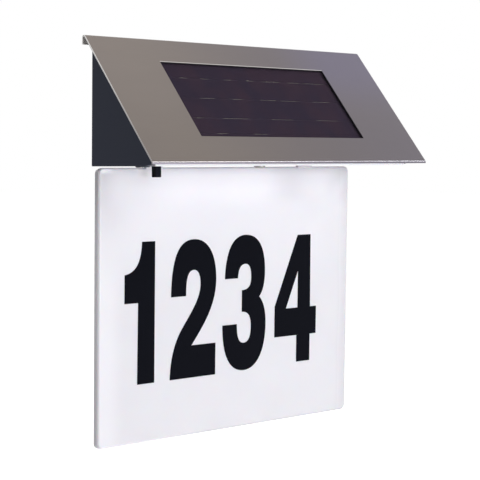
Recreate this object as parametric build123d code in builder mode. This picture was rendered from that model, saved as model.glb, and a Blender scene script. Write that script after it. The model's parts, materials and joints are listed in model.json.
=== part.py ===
"""Illuminated house number sign: a bent steel roof over a black wedge housing, with an opal number
panel hung below it. Millimetres. The wall is the plane Y = 0, the front faces -Y, +Z is up, and the
origin lies midway between the two keyholes."""
import os
from math import asin, atan2, cos, hypot, radians, sin, tan

from build123d import *

os.makedirs("parts", exist_ok=True)

# --- roof cover, bent from one sheet
ROOF_WIDTH = 195.0
ROOF_TOP = 24.2
ROOF_REACH = 55.4
CREASE_Z = -36.8
LIP_DROP = 1.05
FLANGE_DROP = 4.65
SHEET = 0.8
RIDGE_BEND = 1.5
LIP_BEND = 1.1
WINDOW = (116.3, 49.1)
WINDOW_UP = 40.9
WINDOW_CORNER = 0.4

# --- layers under the roof, as depths below the sheet's outer face
TAPE = 0.5
SEAL = 0.4
GLASS = 0.5
ADHESIVE = 0.05
CELLS = 0.3
BACKING = 1.2
LAMINATE = (122.0, 56.0)
LAMINATE_GAP = 0.3
SEAL_SETBACK = 1.0
CELL_GAPS_UP = (19.7, 29.95, 43.35, 56.75)
CELL_GAP = 0.5
TAPE_SIDE = (25.0, 62.0)
TAPE_SIDE_AT = (76.5, 38.0)
TAPE_FRONT = (108.0, 6.0)
TAPE_FRONT_UP = 8.0

# --- housing
HOUSING_WIDTH = 182.4
HOUSING_REACH = 54.1
HOUSING_TOP = 19.05
FLOOR_FRONT_Z = -38.85
FLOOR_REAR_Z = -40.1
WALL = 2.0
RIM = 2.0
RIM_SLOPE = -41.0
RIM_END = -47.0
RIM_DEPTH = 0.95
POCKET_WALL = 1.6
HOUSING_EDGE = 0.5

# --- rear cover, keyholes and battery bay
COVER = 1.8
COVER_GAP = 0.3
KEYHOLE_X = 60.0
KEYHOLE_R = 4.25
KEYHOLE_SLOT = 4.2
KEYHOLE_RISE = 7.0
BAY = (56.0, 16.0)
BAY_Z = -17.0
BAY_FRONT = -18.2
BAY_WALL = 1.2
LEDGE_Y = -2.3
DOOR_RECESS = (59.2, 23.2)
DOOR_RECESS_Z = -15.8
RECESS_WALL = 2.0
RECESS_FRONT = -4.6
DOOR_GAP = 0.4
HINGE_Y = -1.5
HINGE_Z = -6.0
HINGE_ROLL = 1.5
HINGE_PIN = 0.8
HINGE_PLAY = 0.06
CELL_R = 7.25
CELL_LENGTH = 50.5
CELL_Y = -10.3

# --- number panel and its digits
PANEL_HALF = 90.0
PANEL_TOP = -40.75
PANEL_BOTTOM = -182.0
PANEL_FRONT = -4.4
PANEL_BACK = -0.7
PANEL_CORNER = 3.0
PANEL_EDGE = 1.7
TONGUE_X = 54.4
TONGUE = (10.8, 13.5)
TONGUE_FRONT = -4.2
TONGUE_BACK = -2.1
DIGIT_BASE = -151.1
DIGIT_FILM = 0.25
DIGIT_LEFTS = {"one": -73.6, "two": -43.5, "three": -7.25, "four": 31.6}

# --- lamps
LED_X = (-78.0, -26.0, 26.0, 78.0)
LED_Y = -4.0
LED_R = 1.5
LED_HEIGHT = 4.6
BOARD_Z = -31.5
BOARD_THICK = 1.0
LIGHT_SPANS = ((-75.0, 24.0), (0.0, 92.0), (75.0, 24.0))
LIGHT_SLOT = (-6.4, -2.3)
DIFFUSER = (177.8, 46.5)
DIFFUSER_REAR = -0.5

# --- slide switch
SWITCH_Y = -13.0
SWITCH_TRAVEL = 4.0
KNOB = (4.5, 2.0)
KNOB_X = -60.5
KNOB_BOTTOM = -45.42
SWITCH_PLATE = (5.9, 6.0, 0.42)
SWITCH_PLATE_LEFT = -73.2
PLATE_SCREW_X = -71.2

# --- electronics tray
TRAY = (72.0, 19.0)
TRAY_AT = (12.0, -28.5)
TRAY_THICK = 1.5
MAIN_BOARD = (70.0, 16.0, 1.6)
MAIN_BOARD_UP = 8.0
FLOOR_SCREW_Y = -24.5
LEAD_R = 0.65

# --- worked out from the above
RISE = ROOF_TOP - RIDGE_BEND - CREASE_Z
RUN = ROOF_REACH - RIDGE_BEND
SLOPE = atan2(RISE, RUN) + asin(RIDGE_BEND / hypot(RISE, RUN))
APEX_Z = CREASE_Z + ROOF_REACH * tan(SLOPE)
FLOOR_TILT = atan2(FLOOR_FRONT_Z - FLOOR_REAR_Z, HOUSING_REACH)
SLOPE_PLANE = Plane(origin=(0, -ROOF_REACH, CREASE_Z), x_dir=(1, 0, 0), z_dir=(0, -sin(SLOPE), cos(SLOPE)))
FLOOR_PLANE = Plane(
    origin=(0, -HOUSING_REACH, FLOOR_FRONT_Z), x_dir=(1, 0, 0), z_dir=(0, sin(FLOOR_TILT), cos(FLOOR_TILT))
)
HOUSING_SKIN = SHEET + TAPE
GLASS_TOP = SHEET + SEAL
GLASS_BOTTOM = GLASS_TOP + GLASS
CELL_TOP = GLASS_BOTTOM + ADHESIVE
BACKING_TOP = CELL_TOP + CELLS
POCKET_FLOOR = BACKING_TOP + BACKING


def facing(y):
    """Plane parallel to the wall at y, with its normal to the front."""
    return Plane.XZ.offset(-y)


def under_roof(depth):
    """Plane parallel to the slope, at a depth below the sheet's outer face."""
    return SLOPE_PLANE.offset(-depth)


def above_floor(height):
    """Plane parallel to the housing's underside, at a height above it."""
    return FLOOR_PLANE.offset(height)


def on_floor(x, y):
    """Place on a floor plane that stands over the point x, y."""
    return (x, (y + HOUSING_REACH) / cos(FLOOR_TILT))


def slope_z(y, depth):
    """Height at y of the plane that lies a depth below the roof's outer face."""
    return CREASE_Z + (ROOF_REACH + y) * tan(SLOPE) - depth / cos(SLOPE)


def slope_y(z, depth):
    """Y at height z of the plane that lies a depth below the roof's outer face."""
    return (z - CREASE_Z + depth / cos(SLOPE)) / tan(SLOPE) - ROOF_REACH


def floor_z(y, height):
    """Height at y of the plane that lies a height above the housing's underside."""
    return FLOOR_FRONT_Z - (HOUSING_REACH + y) * tan(FLOOR_TILT) + height / cos(FLOOR_TILT)


def toe_y(depth, height):
    """Y where the plane a depth below the roof meets the plane a height above the underside."""
    gap = slope_z(-HOUSING_REACH, depth) - floor_z(-HOUSING_REACH, height)
    return -HOUSING_REACH - gap / (tan(SLOPE) + tan(FLOOR_TILT))


def lead(points, bend):
    """One insulated lead along a route with rounded corners."""
    with BuildPart() as wire:
        with BuildLine() as route:
            FilletPolyline(*points, radius=bend)
        with BuildSketch(Plane(origin=route.line @ 0, z_dir=route.line % 0)):
            Circle(LEAD_R)
        sweep()
    return wire.part


def rows(*positions):
    """Mirror each x, z position to the other side."""
    return [(side * x, z) for x, z in positions for side in (-1, 1)]


# ---------------------------------------------------------------- roof
with BuildPart() as roof_cover:
    with BuildSketch(Plane.YZ.offset(-ROOF_WIDTH / 2)):
        with BuildLine():
            FilletPolyline(
                (0, ROOF_TOP - FLANGE_DROP),
                (0, APEX_Z),
                (-ROOF_REACH, CREASE_Z),
                (-ROOF_REACH, CREASE_Z - LIP_DROP),
                radius=[RIDGE_BEND, LIP_BEND],
            )
            offset(amount=SHEET, side=Side.LEFT)
        make_face()
    extrude(amount=ROOF_WIDTH)
    with BuildSketch(under_roof(0)):
        with Locations((0, WINDOW_UP)):
            RectangleRounded(*WINDOW, WINDOW_CORNER)
    extrude(amount=-2 * SHEET, mode=Mode.SUBTRACT)

with BuildPart() as roof_tape:
    with BuildSketch(under_roof(HOUSING_SKIN)):
        with Locations(*rows(TAPE_SIDE_AT)):
            Rectangle(*TAPE_SIDE)
        with Locations((0, TAPE_FRONT_UP)):
            Rectangle(*TAPE_FRONT)
    extrude(amount=TAPE)

# ---------------------------------------------------------------- solar panel
SEAL_OPENING = [side + 2 * SEAL_SETBACK for side in WINDOW]
with BuildPart() as solar_seal:
    with BuildSketch(under_roof(GLASS_TOP)):
        with Locations((0, WINDOW_UP)):
            Rectangle(*LAMINATE)
            Rectangle(*SEAL_OPENING, mode=Mode.SUBTRACT)
    extrude(amount=SEAL)

with BuildPart() as solar_glass:
    with BuildSketch(under_roof(GLASS_BOTTOM)):
        with Locations((0, WINDOW_UP)):
            Rectangle(*LAMINATE)
    extrude(amount=GLASS)

with BuildPart() as solar_cells:
    with BuildSketch(under_roof(BACKING_TOP)):
        with Locations((0, WINDOW_UP)):
            Rectangle(LAMINATE[0] - 2 * CELL_GAP, LAMINATE[1] - 2 * CELL_GAP)
        with Locations(*[(0, up) for up in CELL_GAPS_UP]):
            Rectangle(LAMINATE[0], CELL_GAP, mode=Mode.SUBTRACT)
    extrude(amount=CELLS)

SOLDER_AT = ((20.0, 30.0), (24.5, 30.0))
with BuildPart() as solar_backing:
    with BuildSketch(under_roof(POCKET_FLOOR)):
        with Locations((0, WINDOW_UP)):
            Rectangle(*LAMINATE)
    extrude(amount=BACKING)

# ---------------------------------------------------------------- housing
COVER_SCREWS = rows((84.0, 10.0), (84.0, -22.0), (40.0, 9.0))
BOSS_R = 3.0
SCREW_R = 1.25
PILLAR = (10.0, 5.6)
PILLAR_TOP = -28.0
PILLAR_FRONT = TONGUE_FRONT - 0.2 - PILLAR[1]
TONGUE_SCREW_Z = -32.0
POST_R = 1.6
STAKE_R = 0.7
STAKE_TOP = BOARD_Z + BOARD_THICK + 0.8
LED_POSTS = [(x, -8.6) for x in (-85.0, -71.0, -42.0, 42.0, 71.0, 85.0)]
SWITCH_SLOT_X = KNOB_X - SWITCH_TRAVEL / 2
SWITCH_SLOT = (KNOB[0] + SWITCH_TRAVEL + 0.8, KNOB[1] + 0.8)
TONGUE_SLOT = (TONGUE[0] + 0.6, TONGUE_BACK - TONGUE_FRONT + 0.4)
FLOOR_SCREW_HOLE = 1.6
PLATE_SCREW_HOLE = 0.9
PLATE_BOSS = (2.0, 4.0)
TO_THE_FLOOR = -30.0

with BuildPart() as cavity:
    with BuildSketch(Plane.YZ.offset(-HOUSING_WIDTH / 2 + WALL)):
        with BuildLine():
            Polyline(
                (1.0, floor_z(1.0, WALL)),
                (1.0, HOUSING_TOP - WALL),
                (slope_y(HOUSING_TOP - WALL, HOUSING_SKIN + WALL), HOUSING_TOP - WALL),
                (toe_y(HOUSING_SKIN + WALL, WALL), floor_z(toe_y(HOUSING_SKIN + WALL, WALL), WALL)),
                close=True,
            )
        make_face()
    extrude(amount=HOUSING_WIDTH - 2 * WALL)
    # the solar pocket's own walls
    with BuildSketch(under_roof(0)):
        with Locations((0, WINDOW_UP)):
            Rectangle(*[side + 2 * (LAMINATE_GAP + POCKET_WALL) for side in LAMINATE])
    extrude(amount=-POCKET_FLOOR - POCKET_WALL, mode=Mode.SUBTRACT)
    # screw bosses that the rear cover lands on
    with BuildSketch(facing(-COVER)):
        with Locations(*COVER_SCREWS):
            Circle(BOSS_R)
    extrude(amount=HOUSING_REACH, mode=Mode.SUBTRACT)
    # pillars that the panel's tongues are screwed to
    with BuildSketch(Plane.XY.offset(PILLAR_TOP)):
        with Locations(*[(side * TONGUE_X, PILLAR_FRONT + PILLAR[1] / 2) for side in (-1, 1)]):
            Rectangle(*PILLAR)
    extrude(amount=TO_THE_FLOOR, mode=Mode.SUBTRACT)
    # posts and stakes for the lamp boards
    with BuildSketch(Plane.XY.offset(BOARD_Z)):
        with Locations(*LED_POSTS):
            Circle(POST_R)
    extrude(amount=TO_THE_FLOOR, mode=Mode.SUBTRACT)
    with BuildSketch(Plane.XY.offset(STAKE_TOP)):
        with Locations(*LED_POSTS):
            Circle(STAKE_R)
    extrude(amount=TO_THE_FLOOR, mode=Mode.SUBTRACT)
    # boss for the switch plate's screw
    with BuildSketch(above_floor(0)):
        with Locations(on_floor(PLATE_SCREW_X, SWITCH_Y)):
            Circle(PLATE_BOSS[0])
    extrude(amount=WALL + PLATE_BOSS[1], mode=Mode.SUBTRACT)

with BuildPart() as housing:
    with BuildSketch(Plane.YZ.offset(-HOUSING_WIDTH / 2)):
        with BuildLine():
            Polyline(
                (0, FLOOR_REAR_Z),
                (0, HOUSING_TOP),
                (slope_y(HOUSING_TOP, HOUSING_SKIN), HOUSING_TOP),
                (-HOUSING_REACH, slope_z(-HOUSING_REACH, HOUSING_SKIN)),
                (-HOUSING_REACH, FLOOR_FRONT_Z),
                close=True,
            )
        make_face()
    extrude(amount=HOUSING_WIDTH)
    under_edges = housing.edges().filter_by(lambda edge: edge.bounding_box().max.Z < FLOOR_FRONT_Z + 0.1)
    fillet(under_edges.filter_by(lambda edge: edge.bounding_box().min.Y < -1.0), HOUSING_EDGE)
    add(cavity.part, mode=Mode.SUBTRACT)
    # raised underside between two rims at the sides, which slope away towards the front
    with BuildSketch(above_floor(0)):
        Rectangle(HOUSING_WIDTH - 2 * RIM, 3 * HOUSING_REACH)
    extrude(amount=RIM_DEPTH, mode=Mode.SUBTRACT)
    with BuildSketch(Plane.YZ.offset(-HOUSING_WIDTH)):
        with BuildLine():
            Polyline(
                (RIM_SLOPE, floor_z(RIM_SLOPE, 0)),
                (RIM_END, floor_z(RIM_END, RIM_DEPTH)),
                (-ROOF_REACH, floor_z(-ROOF_REACH, RIM_DEPTH)),
                (-ROOF_REACH, floor_z(-ROOF_REACH, -RIM_DEPTH)),
                (RIM_SLOPE, floor_z(RIM_SLOPE, -RIM_DEPTH)),
                close=True,
            )
        make_face()
    extrude(amount=2 * HOUSING_WIDTH, mode=Mode.SUBTRACT)
    # pocket for the laminate and a hole for its leads
    with BuildSketch(under_roof(0)):
        with Locations((0, WINDOW_UP)):
            Rectangle(*[side + 2 * LAMINATE_GAP for side in LAMINATE])
    extrude(amount=-POCKET_FLOOR, mode=Mode.SUBTRACT)
    with BuildSketch(under_roof(POCKET_FLOOR)):
        with Locations(*SOLDER_AT):
            Circle(LEAD_R + 0.35)
    extrude(amount=-2 * POCKET_WALL, mode=Mode.SUBTRACT)
    # pilot holes in the bosses and pillars
    with BuildSketch(facing(-COVER)):
        with Locations(*COVER_SCREWS):
            Circle(SCREW_R)
    extrude(amount=6.5, mode=Mode.SUBTRACT)
    with BuildSketch(facing(TONGUE_FRONT - 0.2)):
        with Locations(*rows((TONGUE_X, TONGUE_SCREW_Z))):
            Circle(SCREW_R)
    extrude(amount=5.0, mode=Mode.SUBTRACT)
    # openings in the underside: light, tongues, switch and screws
    with BuildSketch(above_floor(0)):
        for centre, length in LIGHT_SPANS:
            with Locations(on_floor(centre, sum(LIGHT_SLOT) / 2)):
                Rectangle(length, LIGHT_SLOT[1] - LIGHT_SLOT[0])
        for side in (-1, 1):
            with Locations(on_floor(side * TONGUE_X, (TONGUE_FRONT + TONGUE_BACK) / 2)):
                Rectangle(*TONGUE_SLOT)
        with Locations(on_floor(SWITCH_SLOT_X, SWITCH_Y)):
            Rectangle(*SWITCH_SLOT)
        with Locations(on_floor(0, FLOOR_SCREW_Y)):
            Circle(FLOOR_SCREW_HOLE)
    extrude(amount=2 * WALL, both=True, mode=Mode.SUBTRACT)
    with BuildSketch(above_floor(0)):
        with Locations(on_floor(PLATE_SCREW_X, SWITCH_Y)):
            Circle(PLATE_SCREW_HOLE)
    extrude(amount=WALL + PLATE_BOSS[1] - 0.8, mode=Mode.SUBTRACT)

# ---------------------------------------------------------------- fasteners
SUNK_HEAD_R = 2.3
SUNK_ANGLE = 82
SHANK_PLAY = 0.03


def sunk_screw(length):
    """Countersunk screw along -Z, its head's face at the origin."""
    shank_r = SCREW_R - SHANK_PLAY
    cone = (SUNK_HEAD_R - shank_r) / tan(radians(SUNK_ANGLE / 2))
    with BuildPart() as body:
        with BuildSketch(Plane.XZ):
            with BuildLine():
                Polyline(
                    (0, -length), (0, 0), (SUNK_HEAD_R, 0), (shank_r, -cone), (shank_r, 1 - length), close=True
                )
            make_face()
        revolve(axis=Axis.Z)
        with BuildSketch(Plane.XY):
            Rectangle(2.6, 0.6)
            Rectangle(0.6, 2.6)
        extrude(amount=-0.7, mode=Mode.SUBTRACT)
    return body.part


def pan_screw(head_r, head_h, shank_r, length):
    """Pan head screw along -Z, the underside of its head at the origin."""
    with BuildPart() as body:
        with BuildSketch(Plane.XZ):
            with BuildLine():
                Polyline((0, head_h), (0, -length), (shank_r, -length + 0.6), (shank_r, 0), (head_r, 0))
                Line((head_r, 0), (head_r, 0.35 * head_h))
                Bezier((head_r, 0.35 * head_h), (head_r, 0.9 * head_h), (0.7 * head_r, head_h), (0, head_h))
            make_face()
        revolve(axis=Axis.Z)
        with BuildSketch(Plane.XY.offset(head_h)):
            Rectangle(1.1 * head_r, 0.25 * head_r)
            Rectangle(0.25 * head_r, 1.1 * head_r)
        extrude(amount=-0.55 * head_h, mode=Mode.SUBTRACT)
    return body.part


def rearward(x, y, z):
    """Place at a point with the local +Z axis towards the wall."""
    return Plane(origin=(x, y, z), x_dir=(1, 0, 0), z_dir=(0, 1, 0)).location


def downward(x, y, height):
    """Place at a height above the underside with the local +Z axis downwards."""
    frame = above_floor(height)
    return Plane(origin=frame.from_local_coords(on_floor(x, y)), x_dir=(1, 0, 0), z_dir=-frame.z_dir).location


COVER_SCREW = sunk_screw(8.0)
with BuildPart() as rear_cover_screws:
    with Locations(*[rearward(x, -0.1, z) for x, z in COVER_SCREWS]):
        add(COVER_SCREW)

PANEL_SCREW = sunk_screw(6.8)
with BuildPart() as panel_screws:
    with Locations(*[rearward(x, TONGUE_BACK, z) for x, z in rows((TONGUE_X, TONGUE_SCREW_Z))]):
        add(PANEL_SCREW)

FLOOR_SHANK_R = 1.45
FLOOR_SCREW_PART = pan_screw(3.0, 1.2, FLOOR_SHANK_R, 7.0)
with BuildPart() as floor_screw:
    with Locations(downward(0, FLOOR_SCREW_Y, 0)):
        add(FLOOR_SCREW_PART)

# ---------------------------------------------------------------- rear cover
COVER_BOTTOM = floor_z(0, WALL) + COVER_GAP
COVER_TOP = HOUSING_TOP - WALL - COVER_GAP
TAB = (2.4, 0.4)
SADDLE_X = 14.0
FINGER_NOTCH = 5.0
with BuildPart() as rear_cover:
    with BuildSketch(facing(0)):
        with Locations((0, (COVER_TOP + COVER_BOTTOM) / 2)):
            Rectangle(HOUSING_WIDTH - 2 * WALL - 2 * COVER_GAP, COVER_TOP - COVER_BOTTOM)
    extrude(amount=COVER)
    with BuildSketch(facing(0)):
        with Locations((0, DOOR_RECESS_Z)):
            Rectangle(*[side + 2 * RECESS_WALL for side in DOOR_RECESS])
    extrude(amount=-RECESS_FRONT)
    with BuildSketch(facing(0)):
        with Locations((0, BAY_Z)):
            Rectangle(*[side + 2 * BAY_WALL for side in BAY])
    extrude(amount=BAY_WALL - BAY_FRONT)
    # recess for the door, deeper along its hinge
    with BuildSketch(facing(0)):
        with Locations((0, DOOR_RECESS_Z)):
            Rectangle(*DOOR_RECESS)
    extrude(amount=-LEDGE_Y, mode=Mode.SUBTRACT)
    with BuildSketch(facing(0)):
        with Locations((0, HINGE_Z)):
            Rectangle(DOOR_RECESS[0], 3.6)
    extrude(amount=3.4, mode=Mode.SUBTRACT)
    with BuildSketch(facing(0)):
        with Locations((0, BAY_Z)):
            Rectangle(*BAY)
    extrude(amount=-BAY_FRONT, mode=Mode.SUBTRACT)
    with BuildSketch(facing(0)):
        with Locations((0, DOOR_RECESS_Z - DOOR_RECESS[1] / 2)):
            Circle(FINGER_NOTCH)
    extrude(amount=1.1, mode=Mode.SUBTRACT)
    # two saddles that the cell lies in
    with BuildSketch(facing(CELL_Y)):
        with Locations((-SADDLE_X, BAY_Z), (SADDLE_X, BAY_Z)):
            Rectangle(2.0, BAY[1])
    extrude(amount=CELL_Y - BAY_FRONT)
    with BuildSketch(Plane.YZ.offset(-BAY[0] / 2)):
        with Locations((CELL_Y, BAY_Z)):
            Circle(CELL_R + 0.15)
    extrude(amount=BAY[0], mode=Mode.SUBTRACT)
    # slits for the contact tabs, and bearings for the door's pins
    with BuildSketch(Plane.YZ.offset(-BAY[0] / 2 - 2 * BAY_WALL)):
        with Locations((CELL_Y, BAY_Z)):
            Rectangle(TAB[1] + 0.2, TAB[0] + 0.4)
    extrude(amount=BAY[0] + 4 * BAY_WALL, mode=Mode.SUBTRACT)
    with BuildSketch(Plane.YZ.offset(-DOOR_RECESS[0] / 2 - 1.5)):
        with Locations((HINGE_Y, HINGE_Z)):
            Circle(HINGE_PIN + HINGE_PLAY)
    extrude(amount=DOOR_RECESS[0] + 3.0, mode=Mode.SUBTRACT)
    # keyholes: a round entry and a slot above it for the wall screw's neck
    with BuildSketch(facing(0)):
        for side in (-1, 1):
            with Locations((side * KEYHOLE_X, 0)):
                Circle(KEYHOLE_R)
            with Locations((side * KEYHOLE_X, KEYHOLE_RISE / 2)):
                SlotCenterToCenter(KEYHOLE_RISE, KEYHOLE_SLOT, rotation=90)
    extrude(amount=2 * COVER, mode=Mode.SUBTRACT)
    with Locations(*[rearward(x, 0, z) for x, z in COVER_SCREWS]):
        CounterSinkHole(SCREW_R + 0.1, SUNK_HEAD_R + 0.15, 2 * COVER, SUNK_ANGLE)

DOOR_WIDTH = DOOR_RECESS[0] - 2 * DOOR_GAP
DOOR_BOTTOM = DOOR_RECESS_Z - DOOR_RECESS[1] / 2 + DOOR_GAP
GRIP_RIBS = 4
with BuildPart() as battery_door:
    with BuildSketch(facing(0)):
        with Locations((0, (HINGE_Z + DOOR_BOTTOM) / 2)):
            Rectangle(DOOR_WIDTH, HINGE_Z - DOOR_BOTTOM)
    extrude(amount=COVER)
    with BuildSketch(Plane.YZ.offset(-DOOR_WIDTH / 2)):
        with Locations((HINGE_Y, HINGE_Z)):
            Circle(HINGE_ROLL)
    extrude(amount=DOOR_WIDTH)
    with BuildSketch(Plane.YZ.offset(-DOOR_WIDTH / 2 - 1.7)):
        with Locations((HINGE_Y, HINGE_Z)):
            Circle(HINGE_PIN)
    extrude(amount=DOOR_WIDTH + 3.4)
    with BuildSketch(facing(0)):
        with Locations((0, DOOR_BOTTOM + 5.5)):
            with GridLocations(0, 2.0, 1, GRIP_RIBS):
                SlotOverall(18.0, 0.9)
    extrude(amount=0.5, mode=Mode.SUBTRACT)

SEAL_RING = (58.2, 18.2)
with BuildPart() as door_seal:
    with BuildSketch(facing(-COVER)):
        with Locations((0, BAY_Z - 0.1)):
            Rectangle(*SEAL_RING)
            Rectangle(*[side - 2.0 for side in SEAL_RING], mode=Mode.SUBTRACT)
    extrude(amount=0.3)

# ---------------------------------------------------------------- battery and its contacts
CELL_LEFT = -23.6
NUB = (2.75, 1.0)
with BuildPart() as battery_cell:
    with BuildSketch(Plane.YZ.offset(CELL_LEFT)):
        with Locations((CELL_Y, BAY_Z)):
            Circle(CELL_R)
    extrude(amount=CELL_LENGTH - NUB[1])
    fillet(battery_cell.edges().filter_by(GeomType.CIRCLE), 0.6)
    with BuildSketch(Plane.YZ.offset(CELL_LEFT)):
        with Locations((CELL_Y, BAY_Z)):
            Circle(NUB[0])
    extrude(amount=CELL_LENGTH)

PLATE = (9.0, 11.0, 0.4)
PLATE_X = BAY[0] / 2 - 0.1
TAB_REACH = 30.3


def contact_plate(side):
    """Contact plate at one end of the bay, with its solder tab through the end wall."""
    with BuildPart() as plate:
        with BuildSketch(Plane.YZ.offset(side * (PLATE_X - PLATE[2] / 2) - PLATE[2] / 2)):
            with Locations((CELL_Y, BAY_Z)):
                Rectangle(PLATE[0], PLATE[1])
        extrude(amount=PLATE[2])
        with BuildSketch(Plane.YZ.offset(side * (PLATE_X + TAB_REACH) / 2 - (TAB_REACH - PLATE_X) / 2)):
            with Locations((CELL_Y, BAY_Z)):
                Rectangle(TAB[1], TAB[0])
        extrude(amount=TAB_REACH - PLATE_X)
    return plate.part


COIL_R = (3.6, 0.3)
COIL_HEIGHT = 3.0
COIL_PITCH = 1.0
NEGATIVE_PLATE = contact_plate(-1)
POSITIVE_PLATE = contact_plate(1)
with BuildPart() as battery_contact:
    add(POSITIVE_PLATE)
    with BuildSketch(Plane.YZ.offset(CELL_LEFT + CELL_LENGTH + 0.02)):
        with Locations((CELL_Y, BAY_Z)):
            Circle(2.0)
    extrude(amount=PLATE_X - PLATE[2] - CELL_LEFT - CELL_LENGTH - 0.02)

COIL_START = (-PLATE_X + PLATE[2] + COIL_R[1] - 0.1, CELL_Y, BAY_Z)
with BuildPart() as battery_spring:
    with BuildLine() as coil:
        Helix(pitch=COIL_PITCH, height=COIL_HEIGHT, radius=COIL_R[0], center=COIL_START, direction=(1, 0, 0))
    with BuildSketch(Plane(origin=coil.line @ 0, z_dir=coil.line % 0)):
        Circle(COIL_R[1])
    sweep(path=coil.line, is_frenet=True)
    add(NEGATIVE_PLATE)

# ---------------------------------------------------------------- number panel
with BuildPart() as number_panel:
    with BuildSketch(facing(PANEL_BACK)):
        with Locations((0, (PANEL_TOP + PANEL_BOTTOM) / 2)):
            RectangleRounded(2 * PANEL_HALF, PANEL_TOP - PANEL_BOTTOM, PANEL_CORNER)
    extrude(amount=PANEL_BACK - PANEL_FRONT)
    fillet(number_panel.faces().sort_by(Axis.Y)[0].edges(), PANEL_EDGE)
    fillet(number_panel.faces().sort_by(Axis.Y)[-1].edges(), 0.5)
    with BuildSketch(facing(TONGUE_BACK)):
        for side in (-1, 1):
            with Locations((side * TONGUE_X, PANEL_TOP + TONGUE[1] / 2 - 1.0)):
                Rectangle(TONGUE[0], TONGUE[1] + 2.0)
    extrude(amount=TONGUE_BACK - TONGUE_FRONT)
    with Locations(*[rearward(x, TONGUE_BACK, z) for x, z in rows((TONGUE_X, TONGUE_SCREW_Z))]):
        CounterSinkHole(SCREW_R + 0.1, SUNK_HEAD_R + 0.1, 4 * (TONGUE_BACK - TONGUE_FRONT), SUNK_ANGLE)


def digit_plane(name):
    """Plane on the panel's face, its origin at a digit's left end of the base line."""
    return Plane(origin=(DIGIT_LEFTS[name], PANEL_FRONT, DIGIT_BASE), x_dir=(1, 0, 0), z_dir=(0, -1, 0))


with BuildPart() as digit_one:
    with BuildSketch(digit_plane("one")):
        with BuildLine():
            Polyline((11.1, 72.75), (19.6, 72.75), (19.6, -0.3), (8.5, -0.3), (8.8, 41.6), (0, 41.6), (0, 56.2))
            Bezier((0, 56.2), (7.5, 57.2), (10.8, 62.5), (11.1, 72.75))
        make_face()
    extrude(amount=DIGIT_FILM)

with BuildPart() as digit_two:
    with BuildSketch(digit_plane("two")):
        with BuildLine():
            Polyline((0, -0.25), (31.5, -0.25), (31.5, 16.8), (14.6, 16.8))
            Bezier((14.6, 16.8), (22.5, 26.5), (31.6, 36.5), (31.6, 51.0))
            Bezier((31.6, 51.0), (31.6, 64.5), (25.5, 72.75), (16.0, 72.75))
            Bezier((16.0, 72.75), (6.0, 72.75), (0.8, 65.0), (0.5, 43.1))
            Line((0.5, 43.1), (10.6, 43.1))
            Bezier((10.6, 43.1), (10.5, 52.5), (11.8, 56.6), (16.0, 56.6))
            Bezier((16.0, 56.6), (19.2, 56.6), (20.7, 53.5), (20.7, 49.0))
            Bezier((20.7, 49.0), (20.7, 41.0), (14.5, 34.5), (8.5, 26.5))
            Bezier((8.5, 26.5), (3.0, 19.3), (0.4, 11.0), (0, -0.25))
        make_face()
    extrude(amount=DIGIT_FILM)

with BuildPart() as digit_three:
    with BuildSketch(digit_plane("three")):
        with BuildLine():
            Bezier((1.75, 50.4), (2.3, 66.0), (7.5, 73.75), (16.6, 73.75))
            Bezier((16.6, 73.75), (26.0, 73.75), (31.1, 66.5), (31.1, 53.5))
            Bezier((31.1, 53.5), (31.1, 47.0), (29.8, 42.5), (27.0, 39.6))
            Bezier((27.0, 39.6), (30.5, 36.5), (32.0, 31.0), (32.0, 24.5))
            Bezier((32.0, 24.5), (32.0, 9.5), (25.8, 0), (16.0, 0))
            Bezier((16.0, 0), (5.5, 0), (0.3, 9.5), (0.25, 25.5))
            Line((0.25, 25.5), (10.6, 25.5))
            Bezier((10.6, 25.5), (10.7, 18.5), (12.0, 15.0), (16.0, 15.0))
            Bezier((16.0, 15.0), (19.7, 15.0), (21.1, 18.5), (21.1, 23.5))
            Bezier((21.1, 23.5), (21.1, 29.5), (19.0, 32.0), (14.25, 32.0))
            Line((14.25, 32.0), (14.25, 43.75))
            Bezier((14.25, 43.75), (19.0, 43.75), (21.0, 45.8), (21.0, 50.5))
            Bezier((21.0, 50.5), (21.0, 55.5), (19.5, 58.0), (16.6, 58.0))
            Bezier((16.6, 58.0), (13.0, 58.0), (11.3, 55.5), (11.1, 50.4))
            Line((11.1, 50.4), (1.75, 50.4))
        make_face()
    extrude(amount=DIGIT_FILM)

with BuildPart() as digit_four:
    with BuildSketch(digit_plane("four")):
        with BuildLine():
            Polyline(
                (17.4, 0.8), (27.8, 0.8), (27.8, 15.9), (32.6, 15.9), (32.6, 31.4), (27.8, 31.4),
                (27.4, 72.3), (17.4, 72.3), (0.2, 33.0), (0.2, 15.9), (17.4, 15.9), close=True,
            )
        make_face()
        with BuildLine():
            Polyline((18.0, 31.4), (18.0, 52.6), (8.7, 31.4), close=True)
        make_face(mode=Mode.SUBTRACT)
    extrude(amount=DIGIT_FILM)

# ---------------------------------------------------------------- lamps
LAMP_BOARDS = ((-75.0, 26.0), (0.0, 94.0), (75.0, 26.0))
LAMP_BOARD_Y = (-9.8, -2.2)
LEG = (0.25, 1.0, 0.8)
with BuildPart() as lamp_boards:
    with BuildSketch(Plane.XY.offset(BOARD_Z)):
        for centre, length in LAMP_BOARDS:
            with Locations((centre, sum(LAMP_BOARD_Y) / 2)):
                Rectangle(length, LAMP_BOARD_Y[1] - LAMP_BOARD_Y[0])
        with Locations(*LED_POSTS):
            Circle(STAKE_R + 0.1, mode=Mode.SUBTRACT)
        with Locations(*[(x + side * LEG[1], LED_Y) for x in LED_X for side in (-1, 1)]):
            Circle(LEG[0] + 0.05, mode=Mode.SUBTRACT)
    extrude(amount=BOARD_THICK)

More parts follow.
